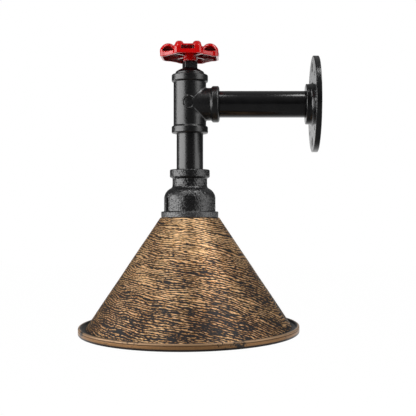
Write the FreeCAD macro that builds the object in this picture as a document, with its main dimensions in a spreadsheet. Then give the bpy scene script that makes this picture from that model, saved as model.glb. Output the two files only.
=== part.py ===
import FreeCAD, Part

import math
import os

import Sketcher

# Pipe wall light, in millimetres.
# The origin is the centre of the wall flange's back face. +X points into the wall, so the arm
# runs along -X, and +Z points up. The front of the light faces -Y.

DRIVING_SIZES = [
    # Pipes and threads
    ("pipe_outer_d", 26.7),
    ("pipe_bore_d", 20.9),
    ("pipe_edge", 0.8),
    ("thread_gap", 0.05),
    ("thread_depth", 13.0),
    ("axis_from_wall", 129.0),
    ("drop_length", 36.5),
    # Wall flange
    ("flange_d", 96.5),
    ("flange_plate", 5.5),
    ("flange_hub_d", 40.5),
    ("flange_depth", 12.3),
    ("flange_root", 3.0),
    ("flange_edge", 1.2),
    ("flange_pipe_inset", 1.5),
    ("screw_circle_d", 75.0),
    ("screw_hole_d", 6.0),
    ("screw_sink_d", 10.5),
    ("screw_hole_count", 4),
    ("spare_hole_d", 4.5),
    ("spare_hole_angle", 45.0),
    # Tee
    ("tee_reach", 29.5),
    ("tee_body_d", 32.8),
    ("tee_bead_d", 36.5),
    ("tee_bead_length", 7.0),
    ("tee_bead_slope", 1.6),
    ("tee_edge", 0.8),
    ("tee_core_d", 25.0),
    ("tee_mark_d", 13.7),
    ("tee_mark_width", 1.5),
    ("tee_mark_height", 0.6),
    ("tee_mark_depth", 2.6),
    # Plug with the square head
    ("plug_thread_length", 12.0),
    ("plug_disc_d", 29.2),
    ("plug_disc_height", 6.0),
    ("plug_rim_height", 2.8),
    ("plug_crown_d", 18.4),
    ("plug_square", 12.7),
    ("plug_square_height", 7.5),
    ("plug_square_edge", 0.8),
    ("plug_turn", 19.0),
    # Rotary switch inside the plug
    ("switch_d", 22.0),
    ("switch_length", 14.0),
    ("switch_wall", 1.5),
    ("switch_roof", 2.0),
    ("switch_seat_rise", 1.5),
    ("switch_neck_d", 10.0),
    ("switch_neck_length", 4.0),
    ("switch_neck_room", 0.3),
    ("switch_cover_sheet", 2.0),
    ("shaft_d", 7.0),
    ("shaft_gap", 0.08),
    ("shaft_square", 4.9),
    ("shaft_end_room", 0.3),
    ("rotor_d", 16.0),
    ("rotor_flat_span", 14.2),
    ("rotor_height", 7.5),
    ("rotor_room", 0.3),
    ("contact_sheet", 0.6),
    ("contact_width", 4.0),
    ("contact_tail", 5.0),
    ("contact_height", 8.5),
    # Valve wheel
    ("wheel_lift", 0.5),
    ("wheel_hub_d", 13.4),
    ("wheel_hub_drop", 2.8),
    ("wheel_rim_height", 9.7),
    ("wheel_wall", 2.2),
    ("wheel_roof", 1.9),
    ("wheel_lobe_count", 4),
    ("wheel_span", 57.8),
    ("wheel_lobe_width", 28.0),
    ("wheel_lobe_round", 4.5),
    ("wheel_waist_d", 41.4),
    ("wheel_skirt_across", 53.8),
    ("wheel_valley_round", 2.0),
    ("wheel_top_round", 3.6),
    ("wheel_ridge_spread", 17.2),
    ("wheel_ridge_width", 8.4),
    ("wheel_ridge_arch", 8.2),
    ("wheel_ridge_lift", 1.0),
    ("wheel_ridge_edge", 3.4),
    ("wheel_window_sill", 4.0),
    ("wheel_window_width", 12.6),
    ("wheel_rib", 3.0),
    ("wheel_rib_rise", 2.0),
    ("wheel_dish_d", 12.0),
    ("wheel_dish_depth", 1.6),
    ("wheel_square_gap", 0.1),
    ("washer_d", 11.0),
    ("washer_sheet", 0.8),
    ("screw_d", 3.0),
    ("screw_length", 9.0),
    ("screw_head_d", 6.0),
    ("screw_head_height", 2.2),
    ("screw_head_round", 1.2),
    ("screw_slot", 0.9),
    ("screw_slot_depth", 1.1),
    # Reducing socket
    ("socket_length", 48.3),
    ("socket_bead_d", 40.0),
    ("socket_bead_length", 7.6),
    ("socket_bead_slope", 1.8),
    ("socket_neck_d", 34.8),
    ("socket_neck_end", 15.8),
    ("socket_shoulder_drop", 13.5),
    ("socket_root_share", 0.25),
    ("socket_bell_d", 51.5),
    ("socket_band_d", 57.4),
    ("socket_band_length", 6.0),
    ("socket_edge", 0.8),
    ("socket_inlet_depth", 14.0),
    ("socket_mouth_d", 41.9),
    ("socket_mouth_depth", 23.3),
    ("socket_rib_width", 3.6),
    ("socket_rib_proud", 1.5),
    ("socket_rib_length", 14.6),
    ("socket_rib_root", 1.2),
    ("socket_rib_angle", 59.0),
    # Lampholder
    ("bushing_sheet", 4.0),
    ("tube_d", 10.0),
    ("tube_bore_d", 7.6),
    ("tube_rise", 7.5),
    ("nut_across_flats", 14.0),
    ("nut_height", 4.0),
    ("tag_sheet", 0.8),
    ("tag_ring_d", 15.0),
    ("tag_width", 4.0),
    ("tag_reach", 9.8),
    ("tag_barrel_d", 3.8),
    ("tag_barrel_length", 5.0),
    ("tag_barrel_rise", 6.5),
    ("cap_d", 38.6),
    ("cap_height", 17.0),
    ("cap_roof", 3.0),
    ("cap_wall", 1.7),
    ("cap_round", 5.0),
    ("holder_d", 39.0),
    ("holder_length", 40.0),
    ("holder_neck_wall", 1.3),
    ("holder_neck_length", 8.0),
    ("holder_ledge", 1.6),
    ("holder_ledge_sheet", 2.0),
    ("insert_drop", 3.0),
    ("insert_sheet", 6.0),
    ("shell_d", 27.8),
    ("shell_sheet", 0.5),
    ("shell_length", 25.0),
    ("shell_hole_d", 12.0),
    ("contact_d", 9.0),
    ("contact_tip_d", 4.0),
    ("contact_drop", 3.0),
    ("terminal_spread", 10.0),
    ("terminal_block", 5.5),
    ("terminal_screw_d", 2.5),
    ("terminal_head_d", 3.8),
    ("terminal_head_height", 1.6),
    ("terminal_screw_reach", 2.0),
    # Shade and its ring
    ("shade_sheet", 1.0),
    ("shade_hole_gap", 0.75),
    ("shade_top_d", 59.2),
    ("shade_depth", 109.7),
    ("shade_d", 220.8),
    ("gutter_width", 3.9),
    ("lip_thickness", 3.5),
    ("lip_rise", 2.0),
    ("lip_drop", 4.9),
    ("ring_d", 54.0),
    ("ring_height", 4.0),
    ("ring_notch_count", 12),
    ("ring_notch_width", 3.0),
    ("ring_notch_depth", 1.0),
    # Bulb
    ("bulb_tip_height", 1.5),
    ("bulb_tip_rim", 0.5),
    ("bulb_tip_d", 6.0),
    ("bulb_tip_base_d", 9.6),
    ("bulb_insulator_height", 3.5),
    ("bulb_insulator_d", 23.0),
    ("bulb_cap_d", 26.0),
    ("bulb_cap_length", 21.0),
    ("bulb_cap_sheet", 0.4),
    ("bulb_globe_d", 55.0),
    ("bulb_globe_drop", 73.0),
    ("bulb_neck_d", 24.4),
    ("bulb_neck_angle", 40.0),
    ("bulb_neck_inset", 10.0),
    ("bulb_glass_wall", 0.7),
    ("stem_base_room", 0.05),
    ("stem_flare_d", 7.0),
    ("stem_flare_length", 13.0),
    ("stem_tip_d", 3.0),
    ("stem_rod_d", 2.4),
    ("stem_disc_d", 12.0),
    ("stem_disc_sheet", 0.7),
    ("stem_disc_start", 24.0),
    ("filament_length", 39.0),
    ("filament_d", 1.8),
    ("filament_circle_d", 9.4),
    ("filament_count", 4),
    # Wiring
    ("wire_d", 2.2),
    ("wire_gap", 0.05),
    ("wire_bend", 9.0),
    ("wire_tight_bend", 5.0),
    ("wire_ease_bend", 30.0),
    ("wire_pair_offset", 1.6),
    ("wire_join_drop", 60.0),
    ("wire_fan_drop", 1.3),
    ("wire_fan_height", 6.9),
    ("wire_side", 3.6),
    ("wire_upper", 2.0),
    ("wire_lower", 3.0),
    ("wire_turn_offset", 5.0),
    ("connector_inset", 4.0),
    ("connector_length", 18.0),
    ("connector_width", 14.0),
    ("connector_height", 10.6),
    ("connector_drop", 0.5),
    ("connector_hole_depth", 6.0),
    ("connector_edge", 1.0),
]

FULL_TURN = 360
OVERCUT = 1.0
HALF = 0.5


class Size:
    """A number that also knows the sheet formula it comes from."""

    def __init__(self, number, formula):
        self.number = number
        self.formula = formula

    def __add__(self, other):
        return joined(self, other, "+", lambda left, right: left + right)

    def __radd__(self, other):
        return as_size(other) + self

    def __sub__(self, other):
        return joined(self, other, "-", lambda left, right: left - right)

    def __rsub__(self, other):
        return as_size(other) - self

    def __mul__(self, other):
        return joined(self, other, "*", lambda left, right: left * right)

    def __rmul__(self, other):
        return as_size(other) * self

    def __truediv__(self, other):
        return joined(self, other, "/", lambda left, right: left / right)

    def __neg__(self):
        return 0 - self


def as_size(value):
    """Give a plain number the form of a Size."""
    if isinstance(value, Size):
        return value
    return Size(float(value), repr(float(value)))


def joined(left, right, sign, rule):
    left = as_size(left)
    right = as_size(right)
    return Size(rule(left.number, right.number), f"({left.formula} {sign} {right.formula})")


def cosine(angle):
    return Size(math.cos(math.radians(angle.number)), f"cos({angle.formula})")


def sine(angle):
    return Size(math.sin(math.radians(angle.number)), f"sin({angle.formula})")


def square_root(size):
    return Size(math.sqrt(size.number), f"sqrt({size.formula})")


document = FreeCAD.newDocument("PipeWallLight")
sheet = document.addObject("Spreadsheet::Sheet", "Sizes")


class Sheet:
    """The driving sizes, each under its own name."""


size = Sheet()
for row, (alias, amount) in enumerate(DRIVING_SIZES, start=1):
    sheet.set(f"A{row}", alias)
    sheet.set(f"B{row}", str(amount))
    sheet.setAlias(f"B{row}", alias)
    setattr(size, alias, Size(float(amount), f"Sizes.{alias}"))
document.recompute()

sub_parts = []


# Helpers for bodies, sketches and features

def new_body(label, several_solids=False):
    """Start a sub-part whose label names its file."""
    body = document.addObject("PartDesign::Body", label)
    body.Label = label
    body.AllowCompound = several_solids
    sub_parts.append(body)
    return body


def origin_item(body, role):
    return next(item for item in body.Origin.OriginFeatures if item.Role == role)


def sketch_on(body, role, lift=None):
    """Attach a sketch to one of the body's own origin planes, lifted along its normal."""
    sketch = body.newObject("Sketcher::SketchObject", "Outline")
    sketch.AttachmentSupport = [(origin_item(body, role), "")]
    sketch.MapMode = "FlatFace"
    if lift is not None:
        sketch.setExpression("AttachmentOffset.Base.z", lift.formula)
    return sketch


def fix(sketch, kind, references, amount):
    """Add a dimension and tie it to its sheet formula."""
    number = sketch.addConstraint(Sketcher.Constraint(kind, *references, amount.number))
    sketch.setExpression(f"Constraints[{number}]", amount.formula)


def flat_vector(point):
    return FreeCAD.Vector(as_size(point[0]).number, as_size(point[1]).number, 0)


def arc_between(start, end, bend):
    """Arc of the given radius between two points, always drawn anticlockwise."""
    if bend < 0:
        start, end = end, start
    radius = abs(bend)
    chord = end - start
    middle = (start + end) * HALF
    left = FreeCAD.Vector(-chord.y, chord.x, 0).normalize()
    reach = math.sqrt(max(radius ** 2 - (chord.Length / 2) ** 2, 0.0))
    centre = middle + left * reach
    first = math.atan2(start.y - centre.y, start.x - centre.x)
    last = math.atan2(end.y - centre.y, end.x - centre.x)
    if last < first:
        last += 2 * math.pi
    circle = Part.Circle(centre, FreeCAD.Vector(0, 0, 1), radius)
    return Part.ArcOfCircle(circle, first, last)


def draw_outline(sketch, points):
    """Draw a closed outline through the points.

    A point's third value makes the edge that arrives there an arc of that radius, which turns
    left where it is positive and right where it is negative.
    """
    ends = []
    for index, point in enumerate(points):
        start = flat_vector(points[index - 1])
        end = flat_vector(point)
        if len(point) == 2:
            edge = sketch.addGeometry(Part.LineSegment(start, end), False)
            ends.append((edge, 1, 2))
            continue
        bend = as_size(point[2])
        edge = sketch.addGeometry(arc_between(start, end, bend.number), False)
        if bend.number > 0:
            ends.append((edge, 1, 2))
            fix(sketch, "Radius", (edge,), bend)
        else:
            ends.append((edge, 2, 1))
            fix(sketch, "Radius", (edge,), -bend)
    for index, (edge, _, finish) in enumerate(ends):
        following, begin, _ = ends[(index + 1) % len(ends)]
        sketch.addConstraint(Sketcher.Constraint("Coincident", edge, finish, following, begin))
        fix(sketch, "DistanceX", (edge, finish), as_size(points[index][0]))
        fix(sketch, "DistanceY", (edge, finish), as_size(points[index][1]))


def draw_circle(sketch, across, along, radius):
    centre = FreeCAD.Vector(as_size(across).number, as_size(along).number, 0)
    circle = Part.Circle(centre, FreeCAD.Vector(0, 0, 1), radius.number)
    edge = sketch.addGeometry(circle, False)
    fix(sketch, "DistanceX", (edge, 3), as_size(across))
    fix(sketch, "DistanceY", (edge, 3), as_size(along))
    fix(sketch, "Radius", (edge,), radius)


def draw_box(sketch, left, right, low, high):
    draw_outline(sketch, [(left, low), (right, low), (right, high), (left, high)])


def finished(body, feature):
    """Recompute, and stop where a feature failed."""
    document.recompute()
    if feature.Shape.isNull() or {"Invalid", "Error"} & set(feature.State):
        raise RuntimeError(f"{feature.Name} of {body.Label} failed")
    return feature


def cut_checked(body, feature, volume_before):
    """A cut that removes nothing points the wrong way."""
    finished(body, feature)
    if feature.Shape.Volume > volume_before - 1e-6:
        raise RuntimeError(f"{feature.Name} of {body.Label} cuts nothing")
    return feature


def extrude(body, sketch, length, backwards=False):
    pad = body.newObject("PartDesign::Pad", "Pad")
    pad.Profile = sketch
    pad.setExpression("Length", as_size(length).formula)
    pad.Reversed = backwards
    return finished(body, pad)


def cut_away(body, sketch, length, along_normal=False):
    """Pocket that goes against the sketch's normal, or along it."""
    before = body.Shape.Volume
    pocket = body.newObject("PartDesign::Pocket", "Pocket")
    pocket.Profile = sketch
    pocket.setExpression("Length", as_size(length).formula)
    pocket.Reversed = along_normal
    return cut_checked(body, pocket, before)


def revolve(body, sketch, axis="V_Axis", angle=FULL_TURN):
    revolution = body.newObject("PartDesign::Revolution", "Revolution")
    revolution.Profile = sketch
    revolution.ReferenceAxis = (sketch, [axis])
    revolution.Angle = angle
    return finished(body, revolution)


def revolve_cut(body, sketch, axis="V_Axis"):
    before = body.Shape.Volume
    groove = body.newObject("PartDesign::Groove", "Groove")
    groove.Profile = sketch
    groove.ReferenceAxis = (sketch, [axis])
    groove.Angle = FULL_TURN
    return cut_checked(body, groove, before)


def repeat_round(body, features, count):
    """Repeat features round the body's own Z axis."""
    pattern = body.newObject("PartDesign::PolarPattern", "PolarPattern")
    pattern.Originals = features
    pattern.Axis = (origin_item(body, "Z_Axis"), [""])
    pattern.Angle = FULL_TURN
    pattern.setExpression("Occurrences", as_size(count).formula)
    body.Tip = pattern
    return finished(body, pattern)


def edge_names(feature, wanted):
    """Names of the edges that answer a question about them."""
    edges = enumerate(feature.Shape.Edges, start=1)
    return [f"Edge{number}" for number, edge in edges if wanted(edge)]


def dress(body, kind, base, wanted, amount):
    """Fillet or chamfer the wanted edges."""
    feature = body.newObject(f"PartDesign::{kind}", kind)
    feature.Base = (base, edge_names(base, wanted))
    feature.setExpression("Radius" if kind == "Fillet" else "Size", amount.formula)
    return finished(body, feature)


def lies_at_height(height):
    """Question for dress: does the whole edge lie at this height?"""
    def wanted(edge):
        box = edge.BoundBox
        return abs(box.ZMin - height.number) < 1e-4 and abs(box.ZMax - height.number) < 1e-4
    return wanted


def turned(label, points):
    """Sub-part of revolution: the points are radius and height."""
    body = new_body(label)
    sketch = sketch_on(body, "XZ_Plane")
    draw_outline(sketch, points)
    revolve(body, sketch)
    return body


def stand_on_drop_axis(body):
    """Put a sub-part on the vertical axis of the tee and the shade."""
    body.setExpression("Placement.Base.x", (-size.axis_from_wall).formula)


def lay_on_arm_axis(body):
    """Turn a sub-part so that its height runs from the wall along the arm."""
    turn = FreeCAD.Rotation(FreeCAD.Vector(0, 1, 0), -90)
    body.Placement = FreeCAD.Placement(FreeCAD.Vector(0, 0, 0), turn)


def square_corners(width, turn):
    """Corners of a square about the axis, turned by an angle."""
    near = width / 2 * (cosine(turn) + sine(turn))
    far = width / 2 * (cosine(turn) - sine(turn))
    return [(near, -far), (far, near), (-near, far), (-far, -near)]


# Levels on the vertical axis, from the top down

pipe_radius = size.pipe_outer_d / 2
bore_radius = size.pipe_bore_d / 2
thread_radius = pipe_radius + size.thread_gap

plug_disc_top = size.tee_reach + size.plug_disc_height
plug_top = plug_disc_top + size.plug_square_height
hub_bottom = plug_top + size.wheel_lift
rim_bottom = hub_bottom + size.wheel_hub_drop
rim_top = rim_bottom + size.wheel_rim_height
dish_floor = rim_top - size.wheel_dish_depth

switch_top = size.tee_reach + size.switch_seat_rise
switch_bottom = switch_top - size.switch_length
switch_ceiling = switch_top - size.switch_roof
cover_bottom = switch_bottom - size.switch_cover_sheet
contact_bottom = cover_bottom - size.contact_tail
contact_inner = size.rotor_d / 2 + size.rotor_room

socket_top = -(size.tee_reach + size.drop_length)
socket_bottom = socket_top - size.socket_length
bushing_top = socket_bottom + size.socket_mouth_depth
bushing_bottom = bushing_top - size.bushing_sheet
cap_ceiling = bushing_bottom - size.cap_roof
holder_top = bushing_bottom - size.cap_height
holder_bottom = holder_top - size.holder_length
insert_top = holder_top - size.insert_drop
insert_bottom = insert_top - size.insert_sheet
bulb_top = insert_bottom - size.contact_drop

shade_floor = socket_bottom - size.shade_depth
lip_top = shade_floor + size.lip_rise
lip_bottom = shade_floor - size.lip_drop


# Wall flange and pipes

def make_wall_flange():
    plate_radius = size.flange_d / 2
    hub_radius = size.flange_hub_d / 2
    flange = turned("wall_flange", [
        (thread_radius, 0),
        (plate_radius, 0),
        (plate_radius, size.flange_plate - size.flange_edge),
        (plate_radius - size.flange_edge, size.flange_plate, size.flange_edge),
        (hub_radius + size.flange_root, size.flange_plate),
        (hub_radius, size.flange_plate + size.flange_root, -size.flange_root),
        (hub_radius, size.flange_depth - size.flange_edge),
        (hub_radius - size.flange_edge, size.flange_depth, size.flange_edge),
        (thread_radius + size.pipe_edge, size.flange_depth),
        (thread_radius, size.flange_depth - size.pipe_edge),
    ])
    screw_radius = size.screw_circle_d / 2
    start = sketch_on(flange, "XY_Plane", size.flange_plate)
    draw_circle(start, screw_radius, 0, size.screw_hole_d / 2)
    document.recompute()
    hole = flange.newObject("PartDesign::Hole", "ScrewHole")
    hole.Profile = start
    hole.DepthType = "ThroughAll"
    hole.ThreadType = "None"
    hole.setExpression("Diameter", size.screw_hole_d.formula)
    hole.HoleCutType = "Countersink"
    hole.HoleCutCountersinkAngle = 90
    hole.setExpression("HoleCutDiameter", size.screw_sink_d.formula)
    finished(flange, hole)
    repeat_round(flange, [hole], size.screw_hole_count)

    spare = sketch_on(flange, "XY_Plane", size.flange_plate)
    across = screw_radius * cosine(size.spare_hole_angle)
    along = screw_radius * sine(size.spare_hole_angle)
    draw_circle(spare, across, along, size.spare_hole_d / 2)
    spare_hole = cut_away(flange, spare, size.flange_plate + OVERCUT)
    repeat_round(flange, [spare_hole], size.screw_hole_count)
    lay_on_arm_axis(flange)


def pipe_outline(low, high):
    return [
        (bore_radius, low),
        (pipe_radius - size.pipe_edge, low),
        (pipe_radius, low + size.pipe_edge),
        (pipe_radius, high - size.pipe_edge),
        (pipe_radius - size.pipe_edge, high),
        (bore_radius, high),
    ]


def make_pipes():
    tee_mouth = size.axis_from_wall - size.tee_reach
    arm = turned("arm_pipe", pipe_outline(size.flange_pipe_inset, tee_mouth + size.thread_depth))
    lay_on_arm_axis(arm)
    drop_top = -size.tee_reach + size.thread_depth
    drop = turned("drop_pipe", pipe_outline(socket_top - size.thread_depth, drop_top))
    stand_on_drop_axis(drop)


# Tee and plug

def make_pipe_tee():
    """Equal tee: beaded run and branch, a round mark in front, threaded and cored bores."""
    reach = size.tee_reach
    body_radius = size.tee_body_d / 2
    bead_radius = size.tee_bead_d / 2
    bead_start = reach - size.tee_bead_length
    slope_start = bead_start - size.tee_bead_slope
    tee = turned("pipe_tee", [
        (0, -reach),
        (bead_radius - size.tee_edge, -reach),
        (bead_radius, -reach + size.tee_edge),
        (bead_radius, -bead_start),
        (body_radius, -slope_start),
        (body_radius, slope_start),
        (bead_radius, bead_start),
        (bead_radius, reach - size.tee_edge),
        (bead_radius - size.tee_edge, reach),
        (0, reach),
    ])
    branch = sketch_on(tee, "XZ_Plane")
    draw_outline(branch, [
        (0, 0),
        (reach, 0),
        (reach, bead_radius - size.tee_edge),
        (reach - size.tee_edge, bead_radius),
        (bead_start, bead_radius),
        (slope_start, body_radius),
        (0, body_radius),
    ])
    revolve(tee, branch, "H_Axis")

    mark_radius = size.tee_mark_d / 2
    mark = sketch_on(tee, "XZ_Plane", body_radius + size.tee_mark_height)
    draw_circle(mark, 0, 0, mark_radius)
    draw_circle(mark, 0, 0, mark_radius - size.tee_mark_width)
    extrude(tee, mark, size.tee_mark_depth, backwards=True)

    core_radius = size.tee_core_d / 2
    thread_end = reach - size.thread_depth
    outside = reach + OVERCUT
    run_bore = sketch_on(tee, "XZ_Plane")
    draw_outline(run_bore, [
        (0, -outside),
        (thread_radius, -outside),
        (thread_radius, -thread_end),
        (core_radius, -thread_end),
        (core_radius, thread_end),
        (thread_radius, thread_end),
        (thread_radius, outside),
        (0, outside),
    ])
    revolve_cut(tee, run_bore)
    branch_bore = sketch_on(tee, "XZ_Plane")
    draw_outline(branch_bore, [
        (0, 0),
        (outside, 0),
        (outside, thread_radius),
        (thread_end, thread_radius),
        (thread_end, core_radius),
        (0, core_radius),
    ])
    revolve_cut(tee, branch_bore, "H_Axis")
    stand_on_drop_axis(tee)


def make_tee_plug():
    """Beaded plug with a square head, hollow below for the switch."""
    disc_radius = size.plug_disc_d / 2
    plug = turned("tee_plug", [
        (0, size.tee_reach - size.plug_thread_length),
        (pipe_radius, size.tee_reach - size.plug_thread_length),
        (pipe_radius, size.tee_reach),
        (disc_radius, size.tee_reach),
        (disc_radius, size.tee_reach + size.plug_rim_height),
        (size.plug_crown_d / 2, plug_disc_top),
        (0, plug_disc_top),
    ])
    head = sketch_on(plug, "XY_Plane", plug_disc_top)
    draw_outline(head, square_corners(size.plug_square, size.plug_turn))
    square = extrude(plug, head, size.plug_square_height)
    dress(plug, "Chamfer", square, lies_at_height(plug_top), size.plug_square_edge)

    recess_radius = size.switch_d / 2 + size.thread_gap
    neck_radius = size.switch_neck_d / 2 + size.thread_gap
    neck_top = switch_top + size.switch_neck_length + size.switch_neck_room
    shaft_radius = size.shaft_d / 2 + size.shaft_gap
    bore = sketch_on(plug, "XZ_Plane")
    draw_outline(bore, [
        (0, size.tee_reach - size.plug_thread_length - OVERCUT),
        (recess_radius, size.tee_reach - size.plug_thread_length - OVERCUT),
        (recess_radius, switch_top),
        (neck_radius, switch_top),
        (neck_radius, neck_top),
        (shaft_radius, neck_top),
        (shaft_radius, plug_top + OVERCUT),
        (0, plug_top + OVERCUT),
    ])
    revolve_cut(plug, bore)
    stand_on_drop_axis(plug)


# Rotary switch

def make_switch():
    outer = size.switch_d / 2
    inner = outer - size.switch_wall
    neck = size.switch_neck_d / 2
    shaft_hole = size.shaft_d / 2 + size.shaft_gap
    neck_top = switch_top + size.switch_neck_length
    housing = turned("switch_housing", [
        (inner, switch_bottom),
        (outer, switch_bottom),
        (outer, switch_top),
        (neck, switch_top),
        (neck, neck_top),
        (shaft_hole, neck_top),
        (shaft_hole, switch_ceiling),
        (inner, switch_ceiling),
    ])
    stand_on_drop_axis(housing)

    cover = new_body("switch_cover")
    disc = sketch_on(cover, "XY_Plane", cover_bottom)
    draw_circle(disc, 0, 0, outer)
    extrude(cover, disc, size.switch_cover_sheet)
    slot = sketch_on(cover, "XY_Plane", cover_bottom)
    gap = size.thread_gap
    half_width = size.contact_width / 2 + gap
    slot_outer = contact_inner + size.contact_sheet + gap
    draw_box(slot, contact_inner - gap, slot_outer, -half_width, half_width)
    slot_cut = cut_away(cover, slot, size.switch_cover_sheet, along_normal=True)
    repeat_round(cover, [slot_cut], 2)
    stand_on_drop_axis(cover)

    contacts = new_body("switch_contacts", several_solids=True)
    leaf = sketch_on(contacts, "XY_Plane", contact_bottom)
    draw_box(leaf, contact_inner, contact_inner + size.contact_sheet,
             -size.contact_width / 2, size.contact_width / 2)
    leaf_length = size.contact_tail + size.switch_cover_sheet + size.contact_height
    leaf_pad = extrude(contacts, leaf, leaf_length)
    repeat_round(contacts, [leaf_pad], 2)
    stand_on_drop_axis(contacts)


def make_switch_rotor():
    """Cam with four flats that works the two contact leaves."""
    rotor = new_body("switch_rotor")
    rotor_top = switch_ceiling - size.rotor_room
    disc = sketch_on(rotor, "XY_Plane", rotor_top - size.rotor_height)
    draw_circle(disc, 0, 0, size.rotor_d / 2)
    draw_circle(disc, 0, 0, size.shaft_d / 2 + size.thread_gap)
    extrude(rotor, disc, size.rotor_height)
    flat = sketch_on(rotor, "XY_Plane", rotor_top)
    draw_box(flat, -size.rotor_d / 2, size.rotor_d / 2,
             size.rotor_flat_span / 2, size.rotor_d / 2 + OVERCUT)
    flat_cut = cut_away(rotor, flat, size.rotor_height)
    repeat_round(rotor, [flat_cut], 4)
    stand_on_drop_axis(rotor)


def make_switch_shaft():
    """Round shaft with a square end for the wheel and a tapped hole for its screw."""
    square_top = dish_floor - size.wheel_lift
    shaft = turned("switch_shaft", [
        (0, switch_bottom + size.shaft_end_room),
        (size.shaft_d / 2, switch_bottom + size.shaft_end_room),
        (size.shaft_d / 2, hub_bottom),
        (0, hub_bottom),
    ])
    square = sketch_on(shaft, "XY_Plane", hub_bottom)
    draw_outline(square, square_corners(size.shaft_square, as_size(0)))
    extrude(shaft, square, square_top - hub_bottom)
    tap = sketch_on(shaft, "XY_Plane", square_top)
    draw_circle(tap, 0, 0, size.screw_d / 2 + size.thread_gap)
    cut_away(shaft, tap, size.screw_length)
    stand_on_drop_axis(shaft)


# Valve wheel

def lobe_outline(shrink):
    """One lobe, pointing to the front: a flat end between two round corners."""
    side = size.wheel_lobe_width / 2 - shrink
    front = shrink - size.wheel_span / 2
    bend = size.wheel_lobe_round - shrink
    return [
        (side - bend, front),
        (side, front + bend, bend),
        (side, 0),
        (-side, 0),
        (-side, front + bend),
        (bend - side, front, bend),
    ]


def skirt_outline(shrink):
    """Eight corners around the wheel; four sides cut the notches off, the others hide in lobes."""
    side = size.wheel_lobe_width / 2 - size.wheel_wall
    reach = (size.wheel_skirt_across / 2 - shrink) * math.sqrt(2) - side
    return [
        (side, -reach),
        (reach, -side),
        (reach, side),
        (side, reach),
        (-side, reach),
        (-reach, side),
        (-reach, -side),
        (-side, -reach),
    ]


def is_upright(edge):
    box = edge.BoundBox
    return box.XLength < 1e-4 and box.YLength < 1e-4 and box.ZLength > 1e-4


def lies_in_valley(edge):
    """Is this one of the upright edges where a lobe leaves the waist?"""
    box = edge.BoundBox
    reach = math.hypot(box.XMin, box.YMin)
    return is_upright(edge) and abs(reach - size.wheel_waist_d.number / 2) < 1e-4


def rib_corners(near, far, width, turn):
    """Corners of a rib that runs outwards, turned from the front by an angle."""
    corners = []
    for along, across in ((near, -width), (near, width), (far, width), (far, -width)):
        corners.append((
            along * sine(turn) + across / 2 * cosine(turn),
            across / 2 * sine(turn) - along * cosine(turn),
        ))
    return corners


def make_wheel_ridges(wheel, ridge_foot, ridge_axis):
    """Two ridges on each lobe: half discs with round edges, a little above the windows' sill."""
    half = size.wheel_ridge_width / 2
    bend = size.wheel_ridge_edge
    front = -size.wheel_span / 2
    ridges = []
    for middle in (size.wheel_ridge_spread / 2, -size.wheel_ridge_spread / 2):
        profile = sketch_on(wheel, "XY_Plane", ridge_foot)
        draw_outline(profile, [
            (middle - half, ridge_axis),
            (middle - half, front + bend),
            (middle - half + bend, front, bend),
            (middle + half - bend, front),
            (middle + half, front + bend, bend),
            (middle + half, ridge_axis),
        ])
        ridges.append(revolve(wheel, profile, "Edge1", FULL_TURN * HALF))
    repeat_round(wheel, ridges, size.wheel_lobe_count)


def make_wheel_windows(wheel, sill, roof_bottom, ridge_axis):
    """An opening in the end of each lobe, and one under each ridge, arched like the ridge."""
    front = size.wheel_span / 2
    half_width = size.wheel_window_width / 2
    end_window = sketch_on(wheel, "XZ_Plane", front + OVERCUT)
    draw_box(end_window, -half_width, half_width, sill, roof_bottom)
    cuts = [cut_away(wheel, end_window, size.wheel_wall + OVERCUT)]

    arch = size.wheel_ridge_arch - size.wheel_wall
    outside = size.wheel_lobe_width / 2 + OVERCUT
    for lift, from_left in ((outside, False), (-outside, True)):
        opening = sketch_on(wheel, "YZ_Plane", lift)
        draw_outline(opening, [
            (ridge_axis + arch, sill),
            (ridge_axis, sill + arch, arch),
            (ridge_axis - arch, sill, arch),
        ])
        cuts.append(cut_away(wheel, opening, outside - half_width, along_normal=from_left))
    repeat_round(wheel, cuts, size.wheel_lobe_count)


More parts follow.
